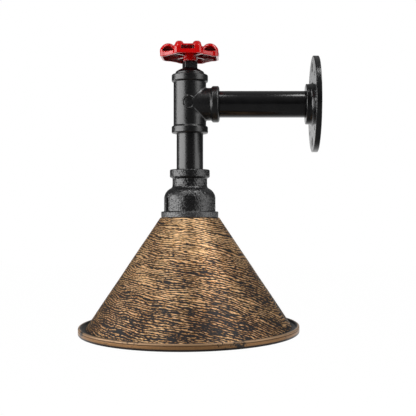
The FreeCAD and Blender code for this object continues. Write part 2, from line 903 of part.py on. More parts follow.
def make_valve_wheel():
    """Hollow cast wheel: four lobes with windows and arched ridges on a low skirt, and a hub."""
    wheel = new_body("valve_wheel")
    count = size.wheel_lobe_count
    waist = size.wheel_waist_d / 2
    hub = size.wheel_hub_d / 2
    wall = size.wheel_wall
    roof_bottom = rim_top - size.wheel_roof

    disc = sketch_on(wheel, "XY_Plane", rim_bottom)
    draw_circle(disc, 0, 0, waist)
    extrude(wheel, disc, size.wheel_rim_height)
    lobe = sketch_on(wheel, "XY_Plane", rim_bottom)
    draw_outline(lobe, lobe_outline(as_size(0)))
    lobe_pad = extrude(wheel, lobe, size.wheel_rim_height)
    lobes = repeat_round(wheel, [lobe_pad], count)
    valleys = dress(wheel, "Fillet", lobes, lies_in_valley, size.wheel_valley_round)
    dress(wheel, "Fillet", valleys, lies_at_height(rim_top), size.wheel_top_round)
    skirt = sketch_on(wheel, "XY_Plane", rim_bottom)
    draw_outline(skirt, skirt_outline(as_size(0)))
    extrude(wheel, skirt, size.wheel_window_sill)

    hollow = sketch_on(wheel, "XY_Plane", rim_bottom)
    draw_circle(hollow, 0, 0, waist - wall)
    cut_away(wheel, hollow, roof_bottom - rim_bottom, along_normal=True)
    pocket = sketch_on(wheel, "XY_Plane", rim_bottom)
    draw_outline(pocket, lobe_outline(wall))
    pocket_cut = cut_away(wheel, pocket, roof_bottom - rim_bottom, along_normal=True)
    repeat_round(wheel, [pocket_cut], count)
    skirt_pocket = sketch_on(wheel, "XY_Plane", rim_bottom)
    draw_outline(skirt_pocket, skirt_outline(wall))
    cut_away(wheel, skirt_pocket, size.wheel_window_sill - size.wheel_roof, along_normal=True)
    sill = rim_bottom + size.wheel_window_sill
    ridge_axis = size.wheel_ridge_arch - size.wheel_span / 2
    make_wheel_ridges(wheel, sill + size.wheel_ridge_lift, ridge_axis)
    make_wheel_windows(wheel, sill, roof_bottom, ridge_axis)

    rib = sketch_on(wheel, "XY_Plane", rim_bottom + size.wheel_rib_rise)
    rib_turn = as_size(FULL_TURN) * HALF / count
    draw_outline(rib, rib_corners(hub * HALF, waist - wall * HALF, size.wheel_rib, rib_turn))
    rib_pad = extrude(wheel, rib, roof_bottom - rim_bottom - size.wheel_rib_rise * HALF)
    repeat_round(wheel, [rib_pad], count)
    centre = sketch_on(wheel, "XY_Plane", hub_bottom)
    draw_circle(centre, 0, 0, hub)
    extrude(wheel, centre, rim_top - hub_bottom)

    dish = sketch_on(wheel, "XY_Plane", rim_top)
    draw_circle(dish, 0, 0, size.wheel_dish_d / 2)
    cut_away(wheel, dish, size.wheel_dish_depth)
    square = sketch_on(wheel, "XY_Plane", rim_top)
    draw_outline(square, square_corners(size.shaft_square + 2 * size.wheel_square_gap, as_size(0)))
    cut_away(wheel, square, rim_top - hub_bottom + OVERCUT)
    stand_on_drop_axis(wheel)


def make_wheel_fasteners():
    screw_radius = size.screw_d / 2
    washer_top = dish_floor + size.washer_sheet
    washer = turned("wheel_washer", [
        (screw_radius + size.thread_gap, dish_floor),
        (size.washer_d / 2, dish_floor),
        (size.washer_d / 2, washer_top),
        (screw_radius + size.thread_gap, washer_top),
    ])
    stand_on_drop_axis(washer)
    head_radius = size.screw_head_d / 2
    head_top = washer_top + size.screw_head_height
    screw = turned("wheel_screw", [
        (0, washer_top - size.screw_length),
        (screw_radius, washer_top - size.screw_length),
        (screw_radius, washer_top),
        (head_radius, washer_top),
        (head_radius, head_top - size.screw_head_round),
        (head_radius - size.screw_head_round, head_top, size.screw_head_round),
        (0, head_top),
    ])
    slot = sketch_on(screw, "XY_Plane", head_top)
    draw_box(slot, -head_radius, head_radius, -size.screw_slot / 2, size.screw_slot / 2)
    cut_away(screw, slot, size.screw_slot_depth)
    stand_on_drop_axis(screw)


# Reducing socket

def make_reducing_socket():
    bead = size.socket_bead_d / 2
    neck = size.socket_neck_d / 2
    bell = size.socket_bell_d / 2
    band = size.socket_band_d / 2
    mouth = size.socket_mouth_d / 2
    edge = size.socket_edge
    band_top = socket_bottom + size.socket_band_length
    neck_bottom = socket_top - size.socket_neck_end
    swell = bell - neck
    drop = size.socket_shoulder_drop
    share = size.socket_root_share
    bends = (swell * swell + drop * drop) / (2 * swell)
    bead_bottom = socket_top - size.socket_bead_length
    socket = turned("reducing_socket", [
        (mouth, socket_bottom),
        (band - edge, socket_bottom),
        (band, socket_bottom + edge),
        (band, band_top - edge),
        (band - edge, band_top),
        (bell, band_top),
        (bell, neck_bottom - drop),
        (neck + swell * share, neck_bottom - drop * share, bends * (1 - share)),
        (neck, neck_bottom, -(bends * share)),
        (neck, bead_bottom - size.socket_bead_slope),
        (bead, bead_bottom),
        (bead, socket_top - edge),
        (bead - edge, socket_top),
        (thread_radius, socket_top),
        (thread_radius, socket_top - size.socket_inlet_depth),
        (bore_radius, socket_top - size.socket_inlet_depth),
        (bore_radius, bushing_top),
        (mouth, bushing_top),
    ])
    rib = sketch_on(socket, "XY_Plane", band_top)
    draw_box(rib, -size.socket_rib_width / 2, size.socket_rib_width / 2,
             -bell - size.socket_rib_proud, -bell + size.socket_rib_root)
    rib_pad = extrude(socket, rib, size.socket_rib_length)
    repeat_round(socket, [rib_pad], 2)
    turn = FreeCAD.Rotation(FreeCAD.Vector(0, 0, 1), -size.socket_rib_angle.number)
    socket.Placement = FreeCAD.Placement(FreeCAD.Vector(0, 0, 0), turn)
    socket.setExpression("Placement.Rotation.Angle", f"-{size.socket_rib_angle.formula} * 1 deg")
    stand_on_drop_axis(socket)


# Lampholder

def make_holder_mounting():
    tube_hole = size.tube_d / 2 + size.thread_gap
    disc = size.socket_mouth_d / 2 - size.thread_gap
    bushing = turned("holder_bushing", [
        (tube_hole, bushing_bottom),
        (disc, bushing_bottom),
        (disc, bushing_top),
        (tube_hole, bushing_top),
    ])
    stand_on_drop_axis(bushing)
    tube = turned("threaded_tube", [
        (size.tube_bore_d / 2, cap_ceiling),
        (size.tube_d / 2, cap_ceiling),
        (size.tube_d / 2, bushing_top + size.tube_rise),
        (size.tube_bore_d / 2, bushing_top + size.tube_rise),
    ])
    stand_on_drop_axis(tube)

    nut = new_body("tube_locknut")
    hexagon = sketch_on(nut, "XY_Plane", bushing_top + size.tag_sheet)
    corner = size.nut_across_flats / math.sqrt(3)
    draw_outline(hexagon, [
        (corner * math.cos(math.radians(60 * step)), corner * math.sin(math.radians(60 * step)))
        for step in range(6)
    ])
    draw_circle(hexagon, 0, 0, tube_hole)
    extrude(nut, hexagon, size.nut_height)
    stand_on_drop_axis(nut)


def make_earth_tag():
    """Ring tag under the locknut, with a strip up the wall and a barrel for the earth wire."""
    tag = new_body("earth_tag")
    half_width = size.tag_width / 2
    tube_hole = size.tube_d / 2 + size.thread_gap
    wire_place = earth_wire_place()
    ring = sketch_on(tag, "XY_Plane", bushing_top)
    draw_circle(ring, 0, 0, size.tag_ring_d / 2)
    extrude(tag, ring, size.tag_sheet)
    foot = sketch_on(tag, "XY_Plane", bushing_top)
    draw_box(foot, -half_width, half_width, 0, size.tag_reach - size.tag_sheet / 2)
    extrude(tag, foot, size.tag_sheet)
    strip = sketch_on(tag, "XY_Plane", bushing_top)
    draw_box(strip, -half_width, half_width, size.tag_reach - size.tag_sheet, size.tag_reach)
    extrude(tag, strip, size.tag_barrel_rise + size.tag_barrel_length)
    barrel = sketch_on(tag, "XY_Plane", bushing_top + size.tag_barrel_rise)
    draw_circle(barrel, 0, wire_place, size.tag_barrel_d / 2)
    extrude(tag, barrel, size.tag_barrel_length)
    hole = sketch_on(tag, "XY_Plane", bushing_top)
    draw_circle(hole, 0, 0, tube_hole)
    cut_away(tag, hole, size.tag_sheet, along_normal=True)
    wire_hole = sketch_on(tag, "XY_Plane", bushing_top + size.tag_barrel_rise)
    draw_circle(wire_hole, 0, wire_place, size.wire_d / 2 + size.wire_gap)
    cut_away(tag, wire_hole, size.tag_barrel_length, along_normal=True)
    stand_on_drop_axis(tag)


def earth_wire_place():
    return size.tag_reach - size.tag_sheet - size.wire_d / 2 - size.wire_gap


def make_holder_shells():
    """Cap and body of the lampholder, and its ceramic insert."""
    tube_hole = size.tube_d / 2 + size.thread_gap
    cap_outer = size.cap_d / 2
    cap_inner = cap_outer - size.cap_wall
    inner_round = size.cap_round - size.cap_wall
    cap = turned("holder_cap", [
        (cap_inner, holder_top),
        (cap_outer, holder_top),
        (cap_outer, bushing_bottom - size.cap_round),
        (cap_outer - size.cap_round, bushing_bottom, size.cap_round),
        (tube_hole, bushing_bottom),
        (tube_hole, cap_ceiling),
        (cap_inner - inner_round, cap_ceiling),
        (cap_inner, cap_ceiling - inner_round, -inner_round),
    ])
    stand_on_drop_axis(cap)

    outer = size.holder_d / 2
    neck_outer = cap_inner - size.thread_gap
    neck_inner = neck_outer - size.holder_neck_wall
    ledge_inner = neck_inner - size.holder_ledge
    ledge_bottom = insert_bottom - size.holder_ledge_sheet
    body = turned("holder_body", [
        (neck_inner, holder_bottom),
        (outer, holder_bottom),
        (outer, holder_top),
        (neck_outer, holder_top),
        (neck_outer, holder_top + size.holder_neck_length),
        (neck_inner, holder_top + size.holder_neck_length),
        (neck_inner, insert_bottom),
        (ledge_inner, insert_bottom),
        (ledge_inner, ledge_bottom),
        (neck_inner, ledge_bottom),
    ])
    stand_on_drop_axis(body)

    insert_radius = neck_inner - size.thread_gap
    insert = turned("holder_insert", [
        (0, insert_bottom),
        (insert_radius, insert_bottom),
        (insert_radius, insert_top),
        (0, insert_top),
    ])
    stand_on_drop_axis(insert)


def make_holder_contacts():
    outer = size.shell_d / 2
    inner = outer - size.shell_sheet
    shell = turned("screw_shell", [
        (inner, insert_bottom - size.shell_length),
        (outer, insert_bottom - size.shell_length),
        (outer, insert_bottom),
        (size.shell_hole_d / 2, insert_bottom),
        (size.shell_hole_d / 2, insert_bottom - size.shell_sheet),
        (inner, insert_bottom - size.shell_sheet),
    ])
    stand_on_drop_axis(shell)
    contact = turned("centre_contact", [
        (0, bulb_top),
        (size.contact_tip_d / 2, bulb_top),
        (size.contact_d / 2, insert_bottom - 2 * size.shell_sheet),
        (size.contact_d / 2, insert_bottom),
        (0, insert_bottom),
    ])
    stand_on_drop_axis(contact)


def make_terminals():
    """Two brass blocks on the insert, each with a wire hole and a side screw."""
    block = size.terminal_block
    spread = size.terminal_spread
    blocks = new_body("terminal_blocks", several_solids=True)
    base = sketch_on(blocks, "XY_Plane", insert_top)
    draw_box(base, spread - block / 2, spread + block / 2, -block / 2, block / 2)
    block_pad = extrude(blocks, base, block)
    wire_hole = sketch_on(blocks, "XY_Plane", insert_top + block)
    draw_circle(wire_hole, spread, 0, size.wire_d / 2 + size.wire_gap)
    wire_cut = cut_away(blocks, wire_hole, terminal_hole_depth())
    side_hole = sketch_on(blocks, "XZ_Plane", -block / 2)
    draw_circle(side_hole, spread, insert_top + block / 2,
                size.terminal_screw_d / 2 + size.thread_gap)
    side_cut = cut_away(blocks, side_hole, size.terminal_screw_reach, along_normal=True)
    repeat_round(blocks, [block_pad, wire_cut, side_cut], 2)
    stand_on_drop_axis(blocks)

    screws = new_body("terminal_screws", several_solids=True)
    height = insert_top + block / 2
    shank = sketch_on(screws, "XZ_Plane", -block / 2)
    draw_circle(shank, spread, height, size.terminal_screw_d / 2)
    shank_pad = extrude(screws, shank, size.terminal_screw_reach - size.thread_gap)
    head = sketch_on(screws, "XZ_Plane", -block / 2)
    draw_circle(head, spread, height, size.terminal_head_d / 2)
    head_pad = extrude(screws, head, size.terminal_head_height, backwards=True)
    repeat_round(screws, [shank_pad, head_pad], 2)
    stand_on_drop_axis(screws)


def terminal_hole_depth():
    return size.terminal_block / 2 - size.terminal_screw_d / 2


# Shade

def make_lamp_shade():
    """Spun cone with a flat top, a gutter at its foot and a rolled rim."""
    sheet_gauge = size.shade_sheet
    hole = size.holder_d / 2 + size.shade_hole_gap
    top = size.shade_top_d / 2
    rim_outer = size.shade_d / 2
    roll = size.lip_thickness / 2
    rim_middle = rim_outer - roll
    rim_inner = rim_outer - size.lip_thickness
    foot = rim_inner - size.gutter_width
    slope = (foot - top) / size.shade_depth
    skew = sheet_gauge * square_root(1 + slope * slope)
    shade = turned("lamp_shade", [
        (hole, socket_bottom - sheet_gauge),
        (top + slope * sheet_gauge - skew, socket_bottom - sheet_gauge),
        (foot + slope * sheet_gauge - skew, shade_floor - sheet_gauge),
        (rim_inner, shade_floor - sheet_gauge),
        (rim_inner, lip_bottom + roll),
        (rim_middle, lip_bottom, roll),
        (rim_outer, lip_bottom + roll, roll),
        (rim_outer, lip_top - roll),
        (rim_middle, lip_top, roll),
        (rim_inner, lip_top - roll, roll),
        (rim_inner, shade_floor),
        (foot, shade_floor),
        (top, socket_bottom),
        (hole, socket_bottom),
    ])
    stand_on_drop_axis(shade)


def make_shade_ring():
    ring_top = socket_bottom - size.shade_sheet
    ring = new_body("shade_ring")
    disc = sketch_on(ring, "XY_Plane", ring_top)
    draw_circle(disc, 0, 0, size.ring_d / 2)
    draw_circle(disc, 0, 0, size.holder_d / 2 + size.thread_gap)
    extrude(ring, disc, size.ring_height, backwards=True)
    notch = sketch_on(ring, "XY_Plane", ring_top)
    outer = size.ring_d / 2
    draw_box(notch, outer - size.ring_notch_depth, outer + OVERCUT,
             -size.ring_notch_width / 2, size.ring_notch_width / 2)
    notch_cut = cut_away(ring, notch, size.ring_height)
    repeat_round(ring, [notch_cut], size.ring_notch_count)
    stand_on_drop_axis(ring)


# Bulb

def make_bulb_base():
    tip_bottom = bulb_top - size.bulb_tip_height
    insulator_bottom = tip_bottom - size.bulb_insulator_height
    tip_radius = size.bulb_tip_base_d / 2
    contact = turned("bulb_contact", [
        (0, tip_bottom),
        (tip_radius, tip_bottom),
        (tip_radius, tip_bottom + size.bulb_tip_rim),
        (size.bulb_tip_d / 2, bulb_top),
        (0, bulb_top),
    ])
    stand_on_drop_axis(contact)
    insulator_radius = size.bulb_insulator_d / 2
    insulator = turned("bulb_insulator", [
        (0, insulator_bottom),
        (insulator_radius, insulator_bottom),
        (tip_radius, tip_bottom),
        (0, tip_bottom),
    ])
    stand_on_drop_axis(insulator)

    cap_outer = size.bulb_cap_d / 2
    cap_inner = cap_outer - size.bulb_cap_sheet
    bevel = cap_outer - insulator_radius
    cap_bottom = insulator_bottom - size.bulb_cap_length
    cap = turned("bulb_cap", [
        (cap_inner, cap_bottom),
        (cap_outer, cap_bottom),
        (cap_outer, insulator_bottom - bevel),
        (insulator_radius, insulator_bottom),
        (0, insulator_bottom),
        (0, insulator_bottom - size.bulb_cap_sheet),
        (insulator_radius - size.bulb_cap_sheet, insulator_bottom - size.bulb_cap_sheet),
        (cap_inner, insulator_bottom - bevel - size.bulb_cap_sheet),
    ])
    stand_on_drop_axis(cap)
    return cap_bottom


def make_bulb_glass(cap_bottom):
    """Globe that flows into a neck inside the cap."""
    radius = size.bulb_globe_d / 2
    neck = size.bulb_neck_d / 2
    wall = size.bulb_glass_wall
    centre = bulb_top - size.bulb_globe_drop
    tilt = size.bulb_neck_angle
    flow = (radius * cosine(tilt) - neck) / (1 - cosine(tilt))
    join_height = centre + radius * sine(tilt)
    neck_start = join_height + flow * sine(tilt)
    neck_top = cap_bottom + size.bulb_neck_inset
    inside = radius - wall
    glass = turned("bulb_glass", [
        (0, centre - radius),
        (radius * cosine(tilt), join_height, radius),
        (neck, neck_start, -flow),
        (neck, neck_top),
        (neck - wall, neck_top),
        (neck - wall, neck_start),
        (inside * cosine(tilt), centre + inside * sine(tilt), flow + wall),
        (0, centre - inside, -inside),
    ])
    stand_on_drop_axis(glass)


def make_bulb_inside(cap_bottom):
    """Glass stem with two small discs, and the filaments that stand between them."""
    base = size.bulb_neck_d / 2 - size.bulb_glass_wall - size.stem_base_room
    base_top = cap_bottom + size.bulb_neck_inset - 2 * OVERCUT
    base_bottom = base_top - size.stem_disc_sheet
    disc = size.stem_disc_d / 2
    rod = size.stem_rod_d / 2
    upper = base_top - size.stem_disc_start
    lower = upper - size.stem_disc_sheet - size.filament_length
    stem = turned("bulb_stem", [
        (0, lower - size.stem_disc_sheet),
        (disc, lower - size.stem_disc_sheet),
        (disc, lower),
        (rod, lower),
        (rod, upper - size.stem_disc_sheet),
        (disc, upper - size.stem_disc_sheet),
        (disc, upper),
        (size.stem_tip_d / 2, upper),
        (size.stem_flare_d / 2, base_bottom - size.stem_flare_length),
        (base, base_bottom),
        (base, base_top),
        (0, base_top),
    ])
    stand_on_drop_axis(stem)

    filaments = new_body("bulb_filaments", several_solids=True)
    stick = sketch_on(filaments, "XY_Plane", lower)
    draw_circle(stick, size.filament_circle_d / 2, 0, size.filament_d / 2)
    stick_pad = extrude(filaments, stick, size.filament_length)
    repeat_round(filaments, [stick_pad], size.filament_count)
    stand_on_drop_axis(filaments)


# Wiring inside the pipes

def make_supply_connector():
    """Three-way connector in the wall end of the arm pipe."""
    connector = new_body("supply_connector")
    half_width = size.connector_width / 2
    low = -size.connector_height / 2 - size.connector_drop
    block = sketch_on(connector, "YZ_Plane", -size.connector_inset)
    edge = size.connector_edge
    high = low + size.connector_height
    draw_outline(block, [
        (-half_width + edge, low),
        (half_width - edge, low),
        (half_width, low + edge),
        (half_width, high - edge),
        (half_width - edge, high),
        (-half_width + edge, high),
        (-half_width, high - edge),
        (-half_width, low + edge),
    ])
    extrude(connector, block, size.connector_length, backwards=True)
    holes = sketch_on(connector, "YZ_Plane", -size.connector_inset - size.connector_length)
    for side, height in wire_entries():
        draw_circle(holes, side, height, size.wire_d / 2 + size.wire_gap)
    cut_away(connector, holes, size.connector_hole_depth, along_normal=True)


def wire_entries():
    """Side and height of the live, neutral and earth wires in the arm."""
    return [
        (as_size(0), -size.wire_lower),
        (-size.wire_side, size.wire_upper),
        (size.wire_side, size.wire_upper),
    ]


def routed_wire(label, route, bends):
    """Wire along straight runs joined by tangent arcs; the last point is its far end."""
    points = [FreeCAD.Vector(*(as_size(part).number for part in point)) for point in route]
    edges = []
    start = points[0]
    for index, bend in enumerate(bends, start=1):
        corner = points[index]
        arriving = (corner - points[index - 1]).normalize()
        leaving = (points[index + 1] - corner).normalize()
        turn = arriving.getAngle(leaving)
        tangent = bend.number * math.tan(turn / 2)
        arc_start = corner - arriving * tangent
        arc_end = corner + leaving * tangent
        inward = (leaving - arriving).normalize()
        centre = corner + inward * (bend.number / math.cos(turn / 2))
        arc_middle = centre - inward * bend.number
        edges.append(Part.LineSegment(start, arc_start).toShape())
        edges.append(Part.Arc(arc_start, arc_middle, arc_end).toShape())
        start = arc_end
    edges.append(Part.LineSegment(start, points[-1]).toShape())
    spine = Part.Wire(edges)
    direction = (points[1] - points[0]).normalize()
    section_edge = Part.Circle(points[0], direction, size.wire_d.number / 2).toShape()
    tube = spine.makePipeShell([Part.Wire([section_edge])], True, False)
    expected = spine.Length * math.pi * (size.wire_d.number / 2) ** 2
    if abs(tube.Volume / expected - 1) > 0.01:
        raise RuntimeError(f"{label} isn't its section times its length")
    print(label, "radii", [bend.number for bend in bends], "length", round(spine.Length, 1))
    feature = document.addObject("Part::Feature", label)
    feature.Label = label
    feature.Shape = tube
    sub_parts.append(feature)


def make_wires():
    axis = -size.axis_from_wall
    connector_end = -size.connector_inset - size.connector_length
    start = connector_end + size.connector_hole_depth - size.wire_gap
    live, neutral, earth = wire_entries()
    leaf = contact_inner + size.contact_sheet / 2
    pair = size.wire_pair_offset
    join_height = -size.tee_reach - size.wire_join_drop + size.thread_depth
    fan_top = cap_ceiling - size.wire_fan_drop
    fan_bottom = fan_top - size.wire_fan_height
    block_hole = insert_top + size.terminal_block - terminal_hole_depth() + size.wire_gap
    spread = size.terminal_spread
    turn_at = axis + size.wire_turn_offset

    routed_wire("live_wire", [
        (start, live[0], live[1]),
        (axis + leaf, live[0], live[1]),
        (axis + leaf, live[0], contact_bottom),
    ], [size.wire_bend])
    routed_wire("switched_wire", [
        (axis - leaf, 0, contact_bottom),
        (axis - leaf, 0, 0),
        (axis - pair, 0, join_height),
        (axis - pair, 0, fan_top),
        (axis - spread, 0, fan_bottom),
        (axis - spread, 0, block_hole),
    ], [size.wire_ease_bend, size.wire_ease_bend, size.wire_tight_bend, size.wire_tight_bend])
    routed_wire("neutral_wire", [
        (start, neutral[0], neutral[1]),
        (turn_at, neutral[0], neutral[1]),
        (axis + pair, 0, join_height),
        (axis + pair, 0, fan_top),
        (axis + spread, 0, fan_bottom),
        (axis + spread, 0, block_hole),
    ], [size.wire_bend, size.wire_ease_bend, size.wire_tight_bend, size.wire_tight_bend])
    routed_wire("earth_wire", [
        (start, earth[0], earth[1]),
        (turn_at, earth[0], earth[1]),
        (axis, earth_wire_place(), join_height),
        (axis, earth_wire_place(), bushing_top + size.tag_barrel_rise),
    ], [size.wire_bend, size.wire_ease_bend])


def export_sub_parts():
    """Check every object and sub-part, then write one STEP file for each."""
    document.recompute()
    for item in document.Objects:
        if {"Invalid", "Error"} & set(item.State):
            raise RuntimeError(f"{item.Name} is in state {item.State}")
    for sub_part in sub_parts:
        if sub_part.Shape.isNull() or not sub_part.Shape.isValid():
            raise RuntimeError(f"{sub_part.Label} has no valid shape")
    os.makedirs("parts", exist_ok=True)
    for sub_part in sub_parts:
        sub_part.Shape.exportStep(f"parts/{sub_part.Label}.step")
        print(sub_part.Label, len(sub_part.Shape.Solids), round(sub_part.Shape.Volume, 1))


make_wall_flange()
make_pipes()
make_pipe_tee()
make_tee_plug()
make_switch()
make_switch_rotor()
make_switch_shaft()
make_valve_wheel()
make_wheel_fasteners()
make_reducing_socket()
make_holder_mounting()
make_earth_tag()
make_holder_shells()
make_holder_contacts()
make_terminals()
make_lamp_shade()
make_shade_ring()
bulb_cap_bottom = make_bulb_base()
make_bulb_glass(bulb_cap_bottom)
make_bulb_inside(bulb_cap_bottom)
make_supply_connector()
make_wires()
export_sub_parts()
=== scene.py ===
import math

import bmesh
import bpy
import numpy as np
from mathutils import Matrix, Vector, noise


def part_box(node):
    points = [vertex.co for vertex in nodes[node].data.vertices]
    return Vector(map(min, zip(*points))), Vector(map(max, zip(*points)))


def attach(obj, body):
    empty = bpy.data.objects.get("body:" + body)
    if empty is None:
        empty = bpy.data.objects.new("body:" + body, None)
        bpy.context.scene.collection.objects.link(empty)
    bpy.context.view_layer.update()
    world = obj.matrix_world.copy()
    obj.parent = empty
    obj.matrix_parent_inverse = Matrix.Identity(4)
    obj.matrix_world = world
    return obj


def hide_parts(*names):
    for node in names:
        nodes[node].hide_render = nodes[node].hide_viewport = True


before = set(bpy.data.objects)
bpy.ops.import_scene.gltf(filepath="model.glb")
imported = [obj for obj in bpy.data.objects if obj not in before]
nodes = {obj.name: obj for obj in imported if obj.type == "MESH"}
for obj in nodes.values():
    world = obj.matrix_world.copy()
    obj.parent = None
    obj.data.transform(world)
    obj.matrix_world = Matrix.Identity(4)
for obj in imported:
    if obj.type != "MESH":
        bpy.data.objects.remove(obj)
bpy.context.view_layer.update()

# Bodies that pieces ride on, a millimetre in metres, and sizes in mm that pieces share

FIXED = "light"
WHEEL = "wheel"
MM = 0.001
AXIS_X = -129.0
PIPE_RADIUS = 13.35
THREAD_RADIUS = 13.4
BORE_RADIUS = 10.45
TEE_REACH = 29.5
SHADE_TOP = -114.3


# Camera at the photo's viewing angle

def make_camera():
    data = bpy.data.cameras.new("camera")
    data.sensor_width = 36.0
    data.lens = 64.0
    data.shift_x = -0.0921
    data.clip_start = 0.01
    data.clip_end = 20.0
    camera = bpy.data.objects.new("camera", data)
    camera.location = (-72.0 * MM, -747.0 * MM, -104.7 * MM)
    camera.rotation_euler = (math.radians(90), 0, 0)
    bpy.context.scene.collection.objects.link(camera)
    bpy.context.scene.camera = camera


# Distance fields, in mm: negative inside a solid

def distance(*parts):
    return np.sqrt(sum(part * part for part in parts))


def slab(value, low, high):
    return np.maximum(low - value, value - high)


def rectangle(x, y, half_x, half_y):
    dx = np.abs(x) - half_x
    dy = np.abs(y) - half_y
    outside = distance(np.maximum(dx, 0), np.maximum(dy, 0))
    return outside + np.minimum(np.maximum(dx, dy), 0)


def join(first, second, radius):
    """Union with a fillet."""
    one = np.maximum(radius - first, 0)
    two = np.maximum(radius - second, 0)
    return np.maximum(radius, np.minimum(first, second)) - distance(one, two)


def meet(first, second, radius):
    """Intersection with a rounded edge."""
    one = np.maximum(radius + first, 0)
    two = np.maximum(radius + second, 0)
    return np.minimum(-radius, np.maximum(first, second)) + distance(one, two)


def cut(first, second, radius):
    """First without second, with a rounded edge."""
    return meet(first, -second, radius)


def turn(x, y, angle):
    c, s = math.cos(angle), math.sin(angle)
    return x * c + y * s, -x * s + y * c


def sector(x, y, count, start):
    """Fold the plane into one of count equal sectors round the axis."""
    angle = np.arctan2(y, x) - start
    step = 2 * math.pi / count
    angle = angle - np.round(angle / step) * step
    radius = distance(x, y)
    return radius * np.cos(angle), radius * np.sin(angle)


# Meshes

def new_object(name, mesh, body, *replaced):
    """Put a piece in the scene, in place of the CAD node that it dresses."""
    piece = bpy.data.objects.new(name, mesh)
    bpy.context.scene.collection.objects.link(piece)
    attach(piece, body)
    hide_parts(*replaced)
    return piece


def mesh_from(name, points, faces):
    """Mesh from points in mm and faces of four corners."""
    mesh = bpy.data.meshes.new(name)
    mesh.vertices.add(len(points))
    mesh.vertices.foreach_set("co", (points * MM).astype(np.float32).ravel())
    mesh.loops.add(faces.size)
    mesh.loops.foreach_set("vertex_index", faces.astype(np.int32).ravel())
    mesh.polygons.add(len(faces))
    mesh.polygons.foreach_set("loop_start", np.arange(0, faces.size, 4, dtype=np.int32))
    mesh.update(calc_edges=True)
    mesh.validate()
    mesh.shade_smooth()
    return mesh


def edge_ends(axis, across):
    """Slices of a grid that hold the two ends of its edges along an axis."""
    here = [across] * 3
    there = [across] * 3
    here[axis] = slice(0, -1)
    there[axis] = slice(1, None)
    return tuple(here), tuple(there)


def net_points(values, low, cell):
    """A point in each cell that the surface crosses, and the number of each cell's point."""
    inside = values < 0
    shape = tuple(count - 1 for count in values.shape)
    hits = np.zeros(shape, np.int32)
    sums = np.zeros(shape + (3,), np.float32)
    for a in range(3):
        b, c = (a + 1) % 3, (a + 2) % 3
        here, there = edge_ends(a, slice(None))
        first, second = values[here], values[there]
        crossed = inside[here] != inside[there]
        share = np.where(crossed, first / np.where(crossed, first - second, 1), 0)
        for db, dc in ((0, 0), (0, 1), (1, 0), (1, 1)):
            pick = [slice(None)] * 3
            pick[b] = slice(db, db + shape[b])
            pick[c] = slice(dc, dc + shape[c])
            mark = crossed[tuple(pick)]
            hits += mark
            sums[..., a] += share[tuple(pick)]
            sums[..., b] += mark * db
            sums[..., c] += mark * dc
    active = hits > 0
    number = np.full(shape, -1, np.int64)
    number[active] = np.arange(active.sum())
    points = low + cell * (np.argwhere(active) + sums[active] / hits[active][:, None])
    return points, number


def net_faces(values, number):
    """A face across each edge of the grid that the surface crosses, turned outwards."""
    inside = values < 0
    quads = []
    for a in range(3):
        b, c = (a + 1) % 3, (a + 2) % 3
        here, there = edge_ends(a, slice(1, -1))
        start_inside = inside[here]
        edges = np.argwhere(start_inside != inside[there])
        outward = start_inside[tuple(edges.T)]
        edges[:, b] += 1
        edges[:, c] += 1
        corners = []
        for db, dc in ((-1, -1), (0, -1), (0, 0), (-1, 0)):
            place = edges.copy()
            place[:, b] += db
            place[:, c] += dc
            corners.append(number[tuple(place.T)])
        ring = np.stack(corners, axis=1)
        ring[~outward] = ring[~outward][:, ::-1]
        quads.append(ring)
    return np.concatenate(quads)


def settled(points, field, cell):
    """Points moved onto the surface, by Newton's method along the field's slope."""
    rounds, probe, gentlest = 3, 0.1, 0.05
    step = cell * probe
    for _ in range(rounds):
        x, y, z = points.T
        slope = np.stack([
            field(x + step, y, z) - field(x - step, y, z),
            field(x, y + step, z) - field(x, y - step, z),
            field(x, y, z + step) - field(x, y, z - step),
        ], axis=1) / (2 * step)
        steep = np.maximum((slope ** 2).sum(axis=1), gentlest)
        move = -slope * (field(x, y, z) / steep)[:, None]
        points = points + np.clip(move, -cell / 2, cell / 2)
    return points


def field_mesh(name, field, low, high, cell):
    """Mesh of the surface where a distance field is zero, by surface nets."""
    axes = []
    for start, end in zip(low, high):
        count = int(math.ceil((end - start) / cell)) + 1
        axes.append(start + cell * np.arange(count))
    values = field(*np.meshgrid(*axes, indexing="ij", sparse=True))
    points, number = net_points(values, np.array(low, float), cell)
    return mesh_from(name, settled(points, field, cell), net_faces(values, number))


def softened(outline, steps):
    """Closed outline with its corners rounded; a point is (u, v) or (u, v, radius)."""
    out = []
    for index, point in enumerate(outline):
        here = np.array(point[:2], float)
        radius = point[2] if len(point) > 2 else 0.0
        if radius <= 0:
            out.append(tuple(here))
            continue
        before = np.array(outline[index - 1][:2], float) - here
        after = np.array(outline[(index + 1) % len(outline)][:2], float) - here
        before /= np.linalg.norm(before)
        after /= np.linalg.norm(after)
        half = math.acos(max(-1.0, min(1.0, float(before @ after)))) / 2
        reach = radius / math.tan(half)
        middle = (before + after) / np.linalg.norm(before + after)
        centre = here + middle * radius / math.sin(half)
        first = here + before * reach - centre
        last = here + after * reach - centre
        sweep = math.atan2(first[0] * last[1] - first[1] * last[0], float(first @ last))
        for k in range(steps + 1):
            angle = sweep * k / steps
            c, s = math.cos(angle), math.sin(angle)
            out.append((centre[0] + first[0] * c - first[1] * s,
                        centre[1] + first[0] * s + first[1] * c))
    return out


